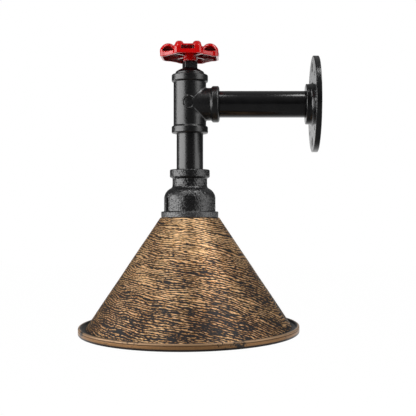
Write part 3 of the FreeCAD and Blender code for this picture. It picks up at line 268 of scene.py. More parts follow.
def turned(name, outline, node, segments=160, steps=6, sharp=40, lying=False, shape=None):
    """Piece of revolution; the outline is (radius, height) in mm, anticlockwise.

    It stands on the axis of the tee, or lies along the arm with its height from the wall.
    """
    ring = np.array(softened(outline, steps))
    angles = np.arange(segments) * 2 * math.pi / segments
    radius = ring[:, 0][None, :]
    height = ring[:, 1][None, :] + 0 * angles[:, None]
    across = radius * np.cos(angles)[:, None]
    along = radius * np.sin(angles)[:, None]
    if lying:
        points = np.stack([-height, along, across], axis=2)
    else:
        points = np.stack([across, along, height], axis=2)
    if shape is not None:
        points = shape(points)
    if not lying:
        points = points + np.array([AXIS_X, 0, 0])
    count = len(ring)
    index = np.arange(segments * count).reshape(segments, count)
    after = np.roll(index, -1, axis=0)
    quads = np.stack([index, after, np.roll(after, -1, axis=1), np.roll(index, -1, axis=1)],
                     axis=2).reshape(-1, 4)
    mesh = mesh_from(name, points.reshape(-1, 3), quads)
    clean(mesh)
    mesh.set_sharp_from_angle(angle=math.radians(sharp))
    return new_object(name, mesh, FIXED, node)


def clean(mesh):
    """Join points that lie together, drop faces that collapse, and turn the rest outwards."""
    same_point, no_length = 1e-7, 1e-8
    work = bmesh.new()
    work.from_mesh(mesh)
    bmesh.ops.remove_doubles(work, verts=work.verts, dist=same_point)
    bmesh.ops.dissolve_degenerate(work, edges=work.edges, dist=no_length)
    bmesh.ops.recalc_face_normals(work, faces=work.faces)
    work.to_mesh(mesh)
    work.free()
    mesh.shade_smooth()


# Materials; the lengths in them are in metres

class Nodes:
    """The node tree of a material or the world, with short calls for what is needed below."""

    def __init__(self, name="", tree=None):
        if tree is not None:
            self.tree = tree
            tree.nodes.clear()
            return
        self.material = bpy.data.materials.new(name)
        self.material.use_nodes = True
        self.tree = self.material.node_tree
        self.shader = next(n for n in self.tree.nodes if n.type == "BSDF_PRINCIPLED")

    def add(self, kind, inputs=None, **settings):
        node = self.tree.nodes.new(kind)
        for key, value in settings.items():
            setattr(node, key, value)
        for key, value in (inputs or {}).items():
            self.feed(node.inputs[key], value)
        return node

    def feed(self, socket, value):
        if isinstance(value, bpy.types.NodeSocket):
            self.tree.links.new(value, socket)
        else:
            socket.default_value = value

    def place(self):
        return self.add("ShaderNodeTexCoord").outputs["Object"]

    def split(self, vector):
        outputs = self.add("ShaderNodeSeparateXYZ", {"Vector": vector}).outputs
        return outputs["X"], outputs["Y"], outputs["Z"]

    def noise(self, vector, scale, detail, rough):
        node = self.add("ShaderNodeTexNoise", {
            "Vector": vector, "Scale": scale, "Detail": detail, "Roughness": rough,
        })
        return node.outputs["Fac"]

    def math(self, operation, first, second=0.0, clamp=False):
        node = self.add("ShaderNodeMath", operation=operation, use_clamp=clamp)
        self.feed(node.inputs[0], first)
        self.feed(node.inputs[1], second)
        return node.outputs[0]

    def total(self, *terms):
        """Sum of values, each with its weight."""
        products = [self.math("MULTIPLY", value, weight) for value, weight in terms]
        result = products[0]
        for product in products[1:]:
            result = self.math("ADD", result, product)
        return result

    def rise(self, value, start, slope):
        """0 up to the start, and from there a straight slope up to 1."""
        return self.math("MULTIPLY", self.math("SUBTRACT", value, start), slope, clamp=True)

    def ramp(self, value, stops):
        node = self.add("ShaderNodeValToRGB", {"Fac": value})
        ramp = node.color_ramp
        while len(ramp.elements) < len(stops):
            ramp.elements.new(0.5)
        for element, (position, colour) in zip(ramp.elements, stops):
            element.position = position
            if not isinstance(colour, (tuple, list)):
                colour = (colour, colour, colour)
            element.color = (*colour, 1.0)
        return node.outputs["Color"]

    def mix(self, share, first, second):
        node = self.add("ShaderNodeMix", data_type="RGBA")
        self.feed(node.inputs[0], share)
        for socket, value in ((node.inputs[6], first), (node.inputs[7], second)):
            if isinstance(value, (tuple, list)):
                value = (*value, 1.0)
            self.feed(socket, value)
        return node.outputs[2]

    def bump(self, height, strength, depth, below=None):
        node = self.add("ShaderNodeBump", {
            "Height": height, "Strength": strength, "Distance": depth,
        })
        if below is not None:
            self.feed(node.inputs["Normal"], below)
        return node.outputs["Normal"]

    def set(self, **values):
        names = {
            "colour": "Base Color", "metal": "Metallic", "rough": "Roughness",
            "normal": "Normal", "coat": "Coat Weight", "coat_rough": "Coat Roughness",
            "ior": "IOR", "specular": "Specular IOR Level", "clear": "Transmission Weight",
        }
        for key, value in values.items():
            if isinstance(value, (tuple, list)):
                value = (*value, 1.0)
            self.feed(self.shader.inputs[names[key]], value)
        return self.material


def painted_seam_highlights(n, place):
    """1 along the two slanting seams where a tee's branch leaves its run, where a painted
    highlight goes.
    """
    start, fade = 0.005, 2200.0
    half_width = 1.3 / fade
    x, _, z = n.split(place)
    across = n.math("ADD", x, -AXIS_X * MM)
    aside = n.math("ABSOLUTE", n.math("SUBTRACT", n.math("ABSOLUTE", z), across))
    near = n.rise(n.math("MULTIPLY", aside, -1.0), -half_width, fade)
    return n.math("MULTIPLY", near, n.rise(across, start, 700.0))


def black_casting(name, grain, depth, rough, seams=False):
    """Satin black over cast iron: fine grain, soft unevenness, and a painted highlight along the
    seams if asked for.
    """
    deep, worn, painted_light_grey = (0.002, 0.002, 0.0024), (0.005, 0.005, 0.0055), (0.16, 0.16, 0.165)
    n = Nodes(name)
    place = n.place()
    fine = n.noise(place, grain, 4.0, 0.6)
    broad = n.noise(place, 70.0, 2.0, 0.5)
    tone = n.ramp(broad, [(0.35, deep), (0.7, worn)])
    # Lighter grey along the seams: a painted highlight.
    if seams:
        tone = n.mix(painted_seam_highlights(n, place), tone, painted_light_grey)
    roughness = n.ramp(fine, [(0.3, rough - 0.05), (0.75, rough + 0.08)])
    uneven = n.bump(broad, 0.2, 0.0005)
    return n.set(colour=tone, rough=roughness, specular=1.0,
                 normal=n.bump(fine, 0.45, depth, uneven))


def rough_casting():
    """Black over rough sand casting: pimples and pits about a millimetre across, and lighter grey
    on the lowest band, a painted reflection.
    """
    deep, worn, painted_light_grey = (0.002, 0.002, 0.0025), (0.009, 0.009, 0.0095), (0.06, 0.06, 0.062)
    band_depth = 0.1079
    n = Nodes("rough_cast")
    place = n.place()
    cells = n.add("ShaderNodeTexVoronoi", {"Vector": place, "Scale": 520.0})
    pimples = n.ramp(cells.outputs["Distance"], [(0.05, 1.0), (0.6, 0.0)])
    fine = n.noise(place, 1300.0, 3.0, 0.6)
    broad = n.noise(place, 260.0, 3.0, 0.6)
    height = n.total((pimples, 0.7), (fine, 0.4), (broad, 0.9))
    tone = n.ramp(broad, [(0.3, deep), (0.75, worn)])
    # Lighter grey on the lowest band of the bell, broken up by the fine noise: a painted
    # reflection.
    below = n.math("MULTIPLY", n.split(place)[2], -1.0)
    painted_reflection = n.math("MULTIPLY", n.rise(below, band_depth, 1200.0),
                    n.ramp(fine, [(0.4, 0.4), (0.6, 1.0)]))
    roughness = n.ramp(fine, [(0.3, 0.2), (0.7, 0.32)])
    return n.set(colour=n.mix(painted_reflection, tone, painted_light_grey), rough=roughness, specular=1.0,
                 normal=n.bump(height, 1.0, 0.0003))


def red_enamel(name, dark, light):
    """Glossy red enamel over a casting, with a slight orange peel."""
    n = Nodes(name)
    place = n.place()
    peel = n.noise(place, 380.0, 2.0, 0.5)
    broad = n.noise(place, 110.0, 2.0, 0.5)
    tone = n.ramp(broad, [(0.3, dark), (0.7, light)])
    return n.set(colour=tone, rough=0.3, specular=0.15, coat=1.0, coat_rough=0.05,
                 normal=n.bump(peel, 0.2, 0.0002))


def brushed_copper():
    """Copper dry-brushed over black: fine wavy lines, like wood grain, broken into specks."""
    black, brown, tan, pale = (
        (0.010, 0.009, 0.010), (0.43, 0.20, 0.065), (0.45, 0.25, 0.10), (0.92, 0.61, 0.33))
    line_pitch, waviness, lean, curl = 0.0019, 26.0, 0.12, 2.6
    n = Nodes("antique_copper")
    place = n.place()
    x, y, z = n.split(place)
    across = n.math("ADD", x, -AXIS_X * MM)
    slant = n.math("ADD", n.math("MULTIPLY", n.math("MAXIMUM", across, 0.0), curl), lean)
    height = n.math("ADD", z, n.math("MULTIPLY", across, slant))

    def streak(scale, stretch, detail):
        """Noise that is drawn out along the strokes."""
        vector = n.add("ShaderNodeCombineXYZ", {
            "X": n.math("MULTIPLY", x, 1.0 / stretch),
            "Y": n.math("MULTIPLY", y, 1.0 / stretch),
            "Z": height,
        }).outputs["Vector"]
        return n.noise(vector, scale, detail, 0.5)

    wander = n.math("MULTIPLY", streak(130.0, 4.0, 2.0), waviness)
    turns = n.math("ADD", n.math("MULTIPLY", height, 2 * math.pi / line_pitch), wander)
    lines = n.math("ADD", n.math("MULTIPLY", n.math("SINE", turns), 0.5), 0.5)
    marks = streak(1550.0, 4.5, 1.0)
    groups = streak(230.0, 6.0, 1.0)
    patches = n.noise(place, 26.0, 3.0, 0.55)
    foot = n.ramp(n.math("MULTIPLY", z, -1.0), [(0.15, 0.0), (0.215, 0.066)])
    uneven = n.math("SUBTRACT", patches, 0.5)
    amount = n.total((lines, 0.2), (marks, 0.55), (groups, 0.25), (uneven, 0.12), (foot, -1.0))
    share = n.ramp(amount, [(0.47, 0.0), (0.52, 1.0)])
    thick = n.ramp(amount, [(0.53, 0.0), (0.64, 1.0)])
    hue = n.ramp(patches, [(0.35, 0.0), (0.65, 1.0)])
    copper = n.mix(thick, n.mix(hue, brown, tan), pale)
    return n.set(colour=n.mix(share, black, copper), metal=n.math("MULTIPLY", share, 0.75),
                 rough=n.ramp(share, [(0.0, 0.42), (1.0, 0.46)]), specular=0.35,
                 normal=n.bump(share, 0.4, 0.0001))


def rubbed_rim():
    """Brown copper on the rolled rim, black in patches and on its lower edge, black in its
    crease, partly left unbrushed and partly painted shade, and paler along its top, a painted
    highlight.
    """
    black, brown, tan, pale = (
        (0.02, 0.016, 0.014), (0.24, 0.125, 0.05), (0.36, 0.19, 0.08), (0.4, 0.25, 0.14))
    lower_edge, crease_height, painted_highlight_from = -0.2272, -0.2241, -0.2236
    n = Nodes("copper_rim")
    place = n.place()
    height = n.split(place)[2]
    patches = n.noise(place, 55.0, 4.0, 0.65)
    fine = n.noise(place, 700.0, 3.0, 0.6)
    share = n.ramp(n.total((patches, 0.8), (fine, 0.2)), [(0.39, 0.0), (0.45, 1.0)])
    # Black on the lower edge, and black in the crease, which is partly left unbrushed and partly
    # painted shade.
    from_crease = n.math("ABSOLUTE", n.math("SUBTRACT", height, crease_height))
    share = n.math("MULTIPLY", share, n.rise(height, lower_edge, 1400.0))
    share = n.math("MULTIPLY", share, n.rise(from_crease, 0.0, 2000.0))
    # Paler along the top of the rim, above the crease: a painted highlight.
    copper = n.mix(n.rise(height, painted_highlight_from, 2500.0), n.mix(fine, brown, tan), pale)
    return n.set(colour=n.mix(share, black, copper), metal=n.math("MULTIPLY", share, 0.4),
                 rough=0.34, specular=0.3, normal=n.bump(fine, 0.3, 0.0001))


def plain_metal(name, colour, rough):
    n = Nodes(name)
    fine = n.noise(n.place(), 900.0, 3.0, 0.6)
    tone = n.ramp(fine, [(0.3, tuple(v * 0.85 for v in colour)), (0.7, colour)])
    roughness = n.ramp(fine, [(0.3, rough - 0.06), (0.7, rough + 0.08)])
    return n.set(colour=tone, metal=1.0, rough=roughness, normal=n.bump(fine, 0.15, 0.0002))


def moulded(name, colour, rough):
    n = Nodes(name)
    fine = n.noise(n.place(), 1100.0, 2.0, 0.5)
    tone = n.ramp(fine, [(0.3, tuple(v * 0.9 for v in colour)), (0.7, colour)])
    return n.set(colour=tone, rough=rough, normal=n.bump(fine, 0.15, 0.0002))


def clear_glass(name):
    n = Nodes(name)
    ripple = n.noise(n.place(), 60.0, 1.0, 0.5)
    return n.set(colour=(1, 1, 1), rough=0.0, ior=1.45, clear=1.0,
                 normal=n.bump(ripple, 0.03, 0.0005))


materials = {
    "cast": black_casting("black_cast", 900.0, 0.0002, 0.3),
    # The tee's black, with a painted highlight along its seams.
    "tee": black_casting("black_cast_tee", 900.0, 0.0002, 0.3, seams=True),
    "flange": black_casting("black_cast_flange", 900.0, 0.0002, 0.2),
    "pipe": black_casting("black_pipe", 1200.0, 0.0001, 0.28),
    "arm": black_casting("black_pipe_arm", 1200.0, 0.00004, 0.17),
    "rough_cast": rough_casting(),
    "red": red_enamel("red_enamel", (0.5, 0.0, 0.0), (0.66, 0.0, 0.001)),
    # Darker red for the walls of the wheel's hollows: painted shade.
    "red_painted_shade": red_enamel("red_enamel_painted_shade", (0.13, 0.0, 0.0), (0.2, 0.0, 0.0)),
    "copper": brushed_copper(),
    "rim": rubbed_rim(),
    "gutter": moulded("gutter_black", (0.012, 0.011, 0.01), 0.5),
    "inside": moulded("shade_inside", (0.02, 0.02, 0.02), 0.5),
    "zinc": plain_metal("zinc", (0.6, 0.6, 0.58), 0.35),
    "steel": plain_metal("steel", (0.5, 0.5, 0.5), 0.3),
    "brass": plain_metal("brass", (0.7, 0.5, 0.22), 0.3),
    "nickel": plain_metal("nickel", (0.75, 0.74, 0.7), 0.25),
    "black_plastic": moulded("black_plastic", (0.02, 0.02, 0.02), 0.4),
    "ceramic": moulded("white_ceramic", (0.8, 0.78, 0.72), 0.15),
    "white": moulded("connector_white", (0.8, 0.8, 0.78), 0.4),
    "glass": clear_glass("bulb_clear"),
    "black_glass": moulded("bulb_black_glass", (0.02, 0.02, 0.025), 0.1),
    "filament": moulded("filament", (0.85, 0.6, 0.16), 0.5),
    "brown": moulded("wire_brown", (0.12, 0.045, 0.02), 0.35),
    "black_wire": moulded("wire_black", (0.02, 0.02, 0.02), 0.35),
    "blue": moulded("wire_blue", (0.02, 0.09, 0.45), 0.35),
    "green": moulded("wire_green", (0.1, 0.3, 0.04), 0.35),
}


def paint(piece, key):
    piece.data.materials.clear()
    piece.data.materials.append(materials[key])


# Fittings; the last value in a join, meet or cut is the radius of the edge

def wall_flange_field(x, y, z):
    """Plate and hub, with the pipe's hole, four countersunk holes and four spare ones."""
    plate_radius, plate_sheet = 48.25, 5.5
    hub_radius, hub_rise = 20.25, 12.3
    hole_circle, hole_radius, spare_radius = 37.5, 3.0, 2.25
    head_radius, head_slope = 5.25, 0.7071
    depth = -x
    ring = distance(y, z)
    plate = meet(ring - plate_radius, depth - plate_sheet, 0.6)
    hub = meet(ring - hub_radius, depth - hub_rise, 0.7)
    solid = meet(join(plate, hub, 3.0), -depth, 0.3)
    solid = cut(solid, ring - THREAD_RADIUS, 0.6)
    u, v = sector(y, z, 4, math.pi / 2)
    hole = distance(u - hole_circle, v)
    head = (hole - head_radius + plate_sheet - depth) * head_slope
    solid = cut(solid, np.minimum(hole - hole_radius, head), 0.25)
    u, v = sector(y, z, 4, math.pi / 4)
    return cut(solid, distance(u - hole_circle, v) - spare_radius, 0.25)


def pipe_tee_field(x, y, z):
    """Equal tee: run and branch with beaded ends, a round mark in front, and its bores."""
    wall_radius, bead_radius, bead_start = 16.4, 18.25, 22.2
    seam_round, seam_start, seam_ease = 1.4, 3.0, 5.0
    mark_radius, mark_half, mark_front = 6.1, 0.75, 17.0
    core_radius, thread_start = 12.5, 16.5
    x = x - AXIS_X
    run = distance(x, y)
    branch = distance(y, z)
    height = np.abs(z)
    seam = seam_round * np.clip((x - seam_start) / seam_ease, 0, 1)
    solid = join(run - wall_radius, np.maximum(branch - wall_radius, -x), seam)
    solid = meet(solid, np.maximum(height - TEE_REACH, x - TEE_REACH), 0.8)
    run_bead = meet(run - bead_radius, height - TEE_REACH, 1.1)
    run_bead = meet(run_bead, bead_start - height, 1.4)
    branch_bead = meet(branch - bead_radius, slab(x, bead_start, TEE_REACH), 1.6)
    solid = join(join(solid, run_bead, 0.9), branch_bead, 1.1)
    mark = np.abs(distance(x, z) - mark_radius) - mark_half
    solid = join(solid, meet(meet(mark, run - mark_front, 0.35), y, 0.3), 0.4)
    bore = np.minimum(run - core_radius, np.maximum(branch - core_radius, -x))
    bore = np.minimum(bore, np.maximum(run - THREAD_RADIUS, thread_start - height))
    bore = np.minimum(bore, np.maximum(branch - THREAD_RADIUS, thread_start - x))
    return cut(solid, bore, 0.5)


def tee_plug_field(x, y, z):
    """Plug with a domed disc and a square head, hollow below for the switch."""
    disc_radius, disc_edge, disc_top = 14.6, 32.3, 35.5
    slope = math.atan2(3.2, 5.4)
    head_half, head_round, head_turn = 6.35, 0.7, math.radians(19)
    head_low, head_top = 34.0, 43.0
    thread_low, thread_top = 17.5, 30.0
    hollow_radius, hollow_top = 11.05, 31.0
    neck_radius, neck_top, shaft_radius = 5.05, 35.3, 3.58
    x = x - AXIS_X
    ring = distance(x, y)
    disc = meet(ring - disc_radius, TEE_REACH - z, 0.3)
    dome = (ring - disc_radius) * math.sin(slope) + (z - disc_edge) * math.cos(slope)
    disc = meet(meet(disc, dome, 1.2), z - disc_top, 0.8)
    thread = meet(ring - PIPE_RADIUS, slab(z, thread_low, thread_top), 0.4)
    u, v = turn(x, y, head_turn)
    side = head_half - head_round
    head = meet(rectangle(u, v, side, side) - head_round, slab(z, head_low, head_top), 0.8)
    solid = join(np.minimum(disc, thread), head, 0.9)
    hollow = np.maximum(ring - hollow_radius, z - hollow_top)
    hollow = np.minimum(hollow, np.maximum(ring - neck_radius, z - neck_top))
    return cut(solid, np.minimum(hollow, ring - shaft_radius), 0.3)


# Valve wheel

LOBES = 4
FRONT = -math.pi / 2
WAIST_RADIUS = 20.7
WALL = 2.2
WHEEL_LOW = 46.3
WHEEL_TOP = 56.0
ROOF_UNDER = 54.1
SKIRT_TOP = 50.3
SKIRT_UNDER = 48.4
HUB_RADIUS = 6.7


def lobe_outline(x, y, shrink):
    """Outline of the wheel's rim, drawn in by shrink."""
    lobe_reach, lobe_half, corner, valley = 28.9, 14.0, 4.5, 2.0
    u, v = sector(x, y, LOBES, FRONT)
    bend = corner - shrink
    half_span = lobe_reach - shrink - bend
    half_width = lobe_half - shrink - bend
    ahead = rectangle(u, v, half_span, half_width) - bend
    beside = rectangle(u, v, half_width, half_span) - bend
    waist = distance(x, y) - WAIST_RADIUS + shrink
    return join(np.minimum(ahead, beside), waist, valley)


def skirt_outline(x, y, shrink):
    """Outline of the low skirt, whose slanted sides cut off the notches between the lobes."""
    slant_reach, corner_cut = 26.9, 11.8
    u, _ = sector(x, y, LOBES, FRONT)
    p, _ = sector(x, y, LOBES, FRONT + math.pi / LOBES)
    slanted = slant_reach - shrink
    return np.maximum(p - slanted, u - slanted * math.sqrt(2) + corner_cut)


def wheel_openings(u, side, z):
    """Window in a lobe's end, and the arched openings under its two ridges."""
    half_width, window_start = 6.3, 26.2
    arch_centre, arch_radius, arch_sill = 50.5, 5.7, 51.2
    window = meet(side - half_width, slab(z, SKIRT_TOP, ROOF_UNDER), 0.5)
    window = np.maximum(window, window_start - u)
    arch = distance(u - WAIST_RADIUS, z - arch_centre) - arch_radius
    opening = np.maximum(np.maximum(arch, half_width - side), arch_sill - z)
    return np.minimum(window, opening)


def valve_wheel_field(x, y, z):
    """Hollow wheel: four lobes on a low skirt, with ridges, openings, ribs and a hub."""
    ridge_centre, ridge_radius, ridge_middle, ridge_half = 51.29, 8.2, 8.6, 4.2
    rib_middle, rib_half_length, rib_half_width = 11.5, 8.1, 1.5
    rib_low, rib_top, hub_low = 48.3, 55.0, 43.5
    dish_radius, dish_floor, square_half = 6.0, 54.4, 2.55
    x = x - AXIS_X
    ring = distance(x, y)
    u, v = sector(x, y, LOBES, FRONT)
    side = np.abs(v)
    solid = meet(meet(lobe_outline(x, y, 0.0), z - WHEEL_TOP, 3.6), WHEEL_LOW - z, 0.7)
    skirt = meet(skirt_outline(x, y, 0.0), slab(z, WHEEL_LOW, SKIRT_TOP), 0.7)
    solid = join(solid, skirt, 1.0)
    hollow = meet(lobe_outline(x, y, WALL), z - ROOF_UNDER, 1.4)
    low_hollow = meet(skirt_outline(x, y, WALL), z - SKIRT_UNDER, 0.7)
    solid = cut(solid, np.minimum(hollow, low_hollow), 0.5)
    ridge = distance(u - WAIST_RADIUS, z - ridge_centre) - ridge_radius
    ridge = meet(ridge, np.abs(side - ridge_middle) - ridge_half, 3.4)
    solid = join(solid, np.maximum(ridge, SKIRT_TOP - z), 0.9)
    solid = cut(solid, wheel_openings(u, side, z), 0.45)
    p, q = sector(x, y, LOBES, FRONT + math.pi / LOBES)
    rib = rectangle(p - rib_middle, q, rib_half_length, rib_half_width)
    solid = join(solid, meet(rib, slab(z, rib_low, rib_top), 0.4), 0.9)
    solid = join(solid, meet(ring - HUB_RADIUS, slab(z, hub_low, WHEEL_TOP), 0.6), 0.9)
    solid = cut(solid, np.maximum(ring - dish_radius, dish_floor - z), 0.3)
    return cut(solid, rectangle(x, y, square_half, square_half), 0.2)


# Reducing socket

def shoulder_radius(z):
    """Outside of the reducing socket between its neck and its bell: two arcs that meet."""
    neck, bell, top, drop, share = 17.4, 25.75, -81.8, 13.5, 0.25
    swell = bell - neck
    bends = (swell ** 2 + drop ** 2) / (2 * swell)
    root = bends * share
    crown = bends - root
    depth = np.clip(top - z, 0, drop)
    hollow = neck + root - np.sqrt(np.maximum(root ** 2 - depth ** 2, 0))
    swollen = bell - crown + np.sqrt(np.maximum(crown ** 2 - (drop - depth) ** 2, 0))
    return np.where(depth < drop * share, hollow, swollen)


def reducing_socket_field(x, y, z):
    """Neck with a bead, bell with an end band, two ribs with a groove on each side, and bores."""
    top, bead_low, bead_radius = -66.0, -74.2, 20.0
    band_top, band_radius, shoulder_scale = -108.3, 28.7, 0.8
    rib_turn = math.radians(-90 - 59)
    rib_middle, rib_half_length, rib_half_width, rib_low, rib_top = 23.6, 3.6, 1.8, -109.0, -93.7
    groove_middle, groove_half, groove_start = 2.7, 0.65, 24.7
    groove_low, groove_top = -107.6, -94.5
    thread_low, mouth_radius, mouth_top = -80.0, 20.95, -91.0
    x = x - AXIS_X
    ring = distance(x, y)
    solid = meet((ring - shoulder_radius(z)) * shoulder_scale, slab(z, SHADE_TOP, top), 0.5)
    solid = join(solid, meet(ring - bead_radius, slab(z, bead_low, top), 1.3), 1.4)
    solid = join(solid, meet(ring - band_radius, slab(z, SHADE_TOP, band_top), 0.9), 0.9)
    u, v = turn(x, y, rib_turn)
    rib = rectangle(np.abs(u) - rib_middle, v, rib_half_length, rib_half_width)
    solid = join(solid, meet(rib, slab(z, rib_low, rib_top), 1.0), 0.5)
    groove = np.abs(np.abs(v) - groove_middle) - groove_half
    groove = np.maximum(groove, groove_start - np.abs(u))
    solid = cut(solid, np.maximum(groove, slab(z, groove_low, groove_top)), 0.35)
    bore = np.maximum(ring - THREAD_RADIUS, thread_low - z)
    bore = np.minimum(bore, ring - BORE_RADIUS)
    bore = np.minimum(bore, np.maximum(ring - mouth_radius, z - mouth_top))
    return cut(solid, bore, 0.5)


def cast_roughness(mesh, size, depth, low, high):
    """Push the points of a mesh in and out along their normals, as a sand casting has it."""
    count = len(mesh.vertices)
    points = np.empty(count * 3, np.float32)
    normals = np.empty(count * 3, np.float32)
    mesh.vertices.foreach_get("co", points)
    mesh.vertex_normals.foreach_get("vector", normals)
    points = points.reshape(-1, 3)
    normals = normals.reshape(-1, 3)
    fineness, gap, octaves = 1.0, 2.0, 3
    amounts = [
        noise.fractal(place, fineness, gap, octaves, noise_basis="PERLIN_ORIGINAL")
        for place in (points / (size * MM)).tolist()
    ]
    points += normals * (np.array(amounts, np.float32) * depth * MM)[:, None]
    points = np.clip(points, np.array(low, np.float32), np.array(high, np.float32))
    mesh.vertices.foreach_set("co", points.ravel())
    mesh.update()


# Pieces of the light

def make_castings():
    """Each has its field, the two corners and the cell of its grid, its node and its paint."""
    pieces = [
        ("flange_casting", wall_flange_field, (-13.5, -49.5, -49.5), (1.2, 49.5, 49.5), 0.5,
         "wall_flange", "flange"),
        ("tee_casting", pipe_tee_field, (AXIS_X - 19.0, -19.0, -30.6),
         (AXIS_X + 30.6, 19.0, 30.6), 0.45, "pipe_tee", "tee"),
        ("plug_casting", tee_plug_field, (AXIS_X - 15.6, -15.6, 16.5),
         (AXIS_X + 15.6, 15.6, 44.1), 0.4, "tee_plug", "cast"),
        ("socket_casting", reducing_socket_field, (AXIS_X - 29.8, -29.8, -115.4),
         (AXIS_X + 29.8, 29.8, -64.9), 0.5, "reducing_socket", "rough_cast"),
    ]
    grain_size, grain_depth = 1.1, 0.16
    for name, field, low, high, cell, node, key in pieces:
        mesh = field_mesh(name, field, low, high, cell)
        if key == "rough_cast":
            box_low, box_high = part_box(node)
            cast_roughness(mesh, grain_size, grain_depth, box_low, box_high)
        piece = new_object(name, mesh, FIXED, node)
        paint(piece, key)


def make_pipe(name, node, low, high, key, lying=False):
    end_round = 0.8
    tube = turned(name, [
        (BORE_RADIUS, low),
        (PIPE_RADIUS, low, end_round),
        (PIPE_RADIUS, high, end_round),
        (BORE_RADIUS, high),
    ], node, steps=4, lying=lying)
    paint(tube, key)


def make_wheel():
    """The wheel, in one mesh; the walls of its hollows take a darker red, painted shade."""
    reach, low, high, cell = 30.4, 42.6, 61.0, 0.4
    skin, hub_margin = 0.2, 0.8
    mesh = field_mesh("wheel_casting", valve_wheel_field, (AXIS_X - reach, -reach, low),
                      (AXIS_X + reach, reach, high), cell)
    wheel = new_object("wheel_casting", mesh, WHEEL, "valve_wheel")
    paint(wheel, "red")
    mesh.materials.append(materials["red_painted_shade"])
    centres = np.empty(len(mesh.polygons) * 3, np.float32)
    mesh.polygons.foreach_get("center", centres)
    x, y, z = centres.reshape(-1, 3).T / MM
    x = x - AXIS_X
    # Faces on the walls of the hollows, away from the hub, get the darker red: painted shade.
    hollow = (lobe_outline(x, y, WALL) < skin) & (z < ROOF_UNDER + skin)
    hollow |= (skirt_outline(x, y, WALL) < skin) & (z < SKIRT_UNDER + skin)
    hollow &= distance(x, y) > HUB_RADIUS + hub_margin
    mesh.polygons.foreach_set("material_index", hollow.astype(np.int32))


# Spun shade

SHADE_FOOT = 103.0
SHADE_FLOOR = -224.0
RIM_INNER = 106.9
RIM_OUTER = 110.4


def fade_in(value, start, length):
    """0 up to the start, and from there a straight slope up to 1."""
    return min(1.0, max(0.0, (value - start) / length))


def dented(points):
    """Push the cone of the shade in and out a little, but not its top or its foot."""
    dent_depth, dent_size = 0.28, 26.0
    below_top, above_foot = (125.0, 30.0), (-219.0, 20.0)
    flat = points.reshape(-1, 3)
    for point in flat:
        height = point[2]
        cone = fade_in(-height, *below_top) * fade_in(height, *above_foot)
        push = dent_depth * cone * noise.noise(Vector(point) / dent_size)
        scale = 1 + push / max(math.hypot(point[0], point[1]), 1.0)
        point[0] *= scale
        point[1] *= scale
    return flat.reshape(points.shape)


def shade_look(face):
    """Name of the finish that a face of the shade has."""
    rim_paint, foot_margin, facing_down = 108.5, 0.6, -0.2
    spot = face.center / MM
    radius = math.hypot(spot.x - AXIS_X, spot.y)
    downward = face.normal.z < facing_down
    if radius > rim_paint:
        return "rim"
    if radius > RIM_INNER or radius > SHADE_FOOT - foot_margin and not downward:
        return "gutter"
    return "inside" if downward else "copper"


def make_shade():
    """Spun shade: flat top, cone, gutter and rolled rim with a groove, with slight dents."""
    hole, top, sheet, corner, wall = 20.25, 29.6, 1.0, 0.7, 0.53
    rim_top, rim_low = -222.0, -228.9
    groove, groove_half, groove_depth = -224.1, 0.5, 0.35
    rows = 24
    outer = []
    for row in range(1, rows):
        share = row / rows
        outer.append((top + (SHADE_FOOT - top) * share,
                      SHADE_TOP + (SHADE_FLOOR - SHADE_TOP) * share))
    inner = [(radius - wall, height - sheet) for radius, height in outer]
    shade = turned("shade_cone", [
        (hole, SHADE_TOP - sheet),
        (top - corner, SHADE_TOP - sheet),
        *inner,
        (SHADE_FOOT - corner, SHADE_FLOOR - sheet),
        (RIM_INNER, SHADE_FLOOR - sheet, 0.3),
        (RIM_INNER, rim_low, 1.7),
        (RIM_OUTER, rim_low, 1.0),
        (RIM_OUTER, groove - groove_half, 0.2),
        (RIM_OUTER - groove_depth, groove, 0.2),
        (RIM_OUTER, groove + groove_half, 0.2),
        (RIM_OUTER, rim_top, 1.2),
        (RIM_INNER, rim_top, 1.7),
        (RIM_INNER, SHADE_FLOOR, 0.8),
        (SHADE_FOOT, SHADE_FLOOR, 1.5),
        *reversed(outer),
        (top, SHADE_TOP, 0.8),
        (hole, SHADE_TOP),
    ], "lamp_shade", segments=288, sharp=50, shape=dented)
    looks = ["copper", "rim", "inside", "gutter"]
    for key in looks:
        shade.data.materials.append(materials[key])
    for face in shade.data.polygons:
        face.material_index = looks.index(shade_look(face))


def make_inside():
    """Paint for the CAD nodes that show as they are."""
    sharp = math.radians(35)
    looks = {
        "wheel_washer": "zinc", "wheel_screw": "zinc", "switch_shaft": "steel",
        "switch_rotor": "black_plastic", "switch_housing": "black_plastic",
        "switch_cover": "black_plastic", "switch_contacts": "brass",
        "holder_bushing": "zinc", "threaded_tube": "zinc", "tube_locknut": "zinc",
        "earth_tag": "brass", "holder_cap": "black_plastic", "holder_body": "black_plastic",
        "holder_insert": "ceramic", "screw_shell": "brass", "centre_contact": "brass",
        "terminal_blocks": "brass", "terminal_screws": "zinc", "shade_ring": "black_plastic",
        "bulb_glass": "glass", "bulb_cap": "nickel", "bulb_insulator": "black_glass",
        "bulb_contact": "brass", "bulb_stem": "glass", "bulb_filaments": "filament",
        "supply_connector": "white", "live_wire": "brown", "switched_wire": "black_wire",
        "neutral_wire": "blue", "earth_wire": "green",
    }
    for node, key in looks.items():
        piece = nodes[node]
        paint(piece, key)
        piece.data.shade_smooth()
        piece.data.set_sharp_from_angle(angle=sharp)


# Room and light, in metres

def area_light(name, place, target, size, power):
    data = bpy.data.lights.new(name, "AREA")
    data.shape = "RECTANGLE"
    data.size, data.size_y = size
    data.energy = power
    lamp = bpy.data.objects.new(name, data)
    lamp.location = place
    aim = Vector(target) - Vector(place)
    lamp.rotation_euler = aim.to_track_quat("-Z", "Y").to_euler()
    bpy.context.scene.collection.objects.link(lamp)


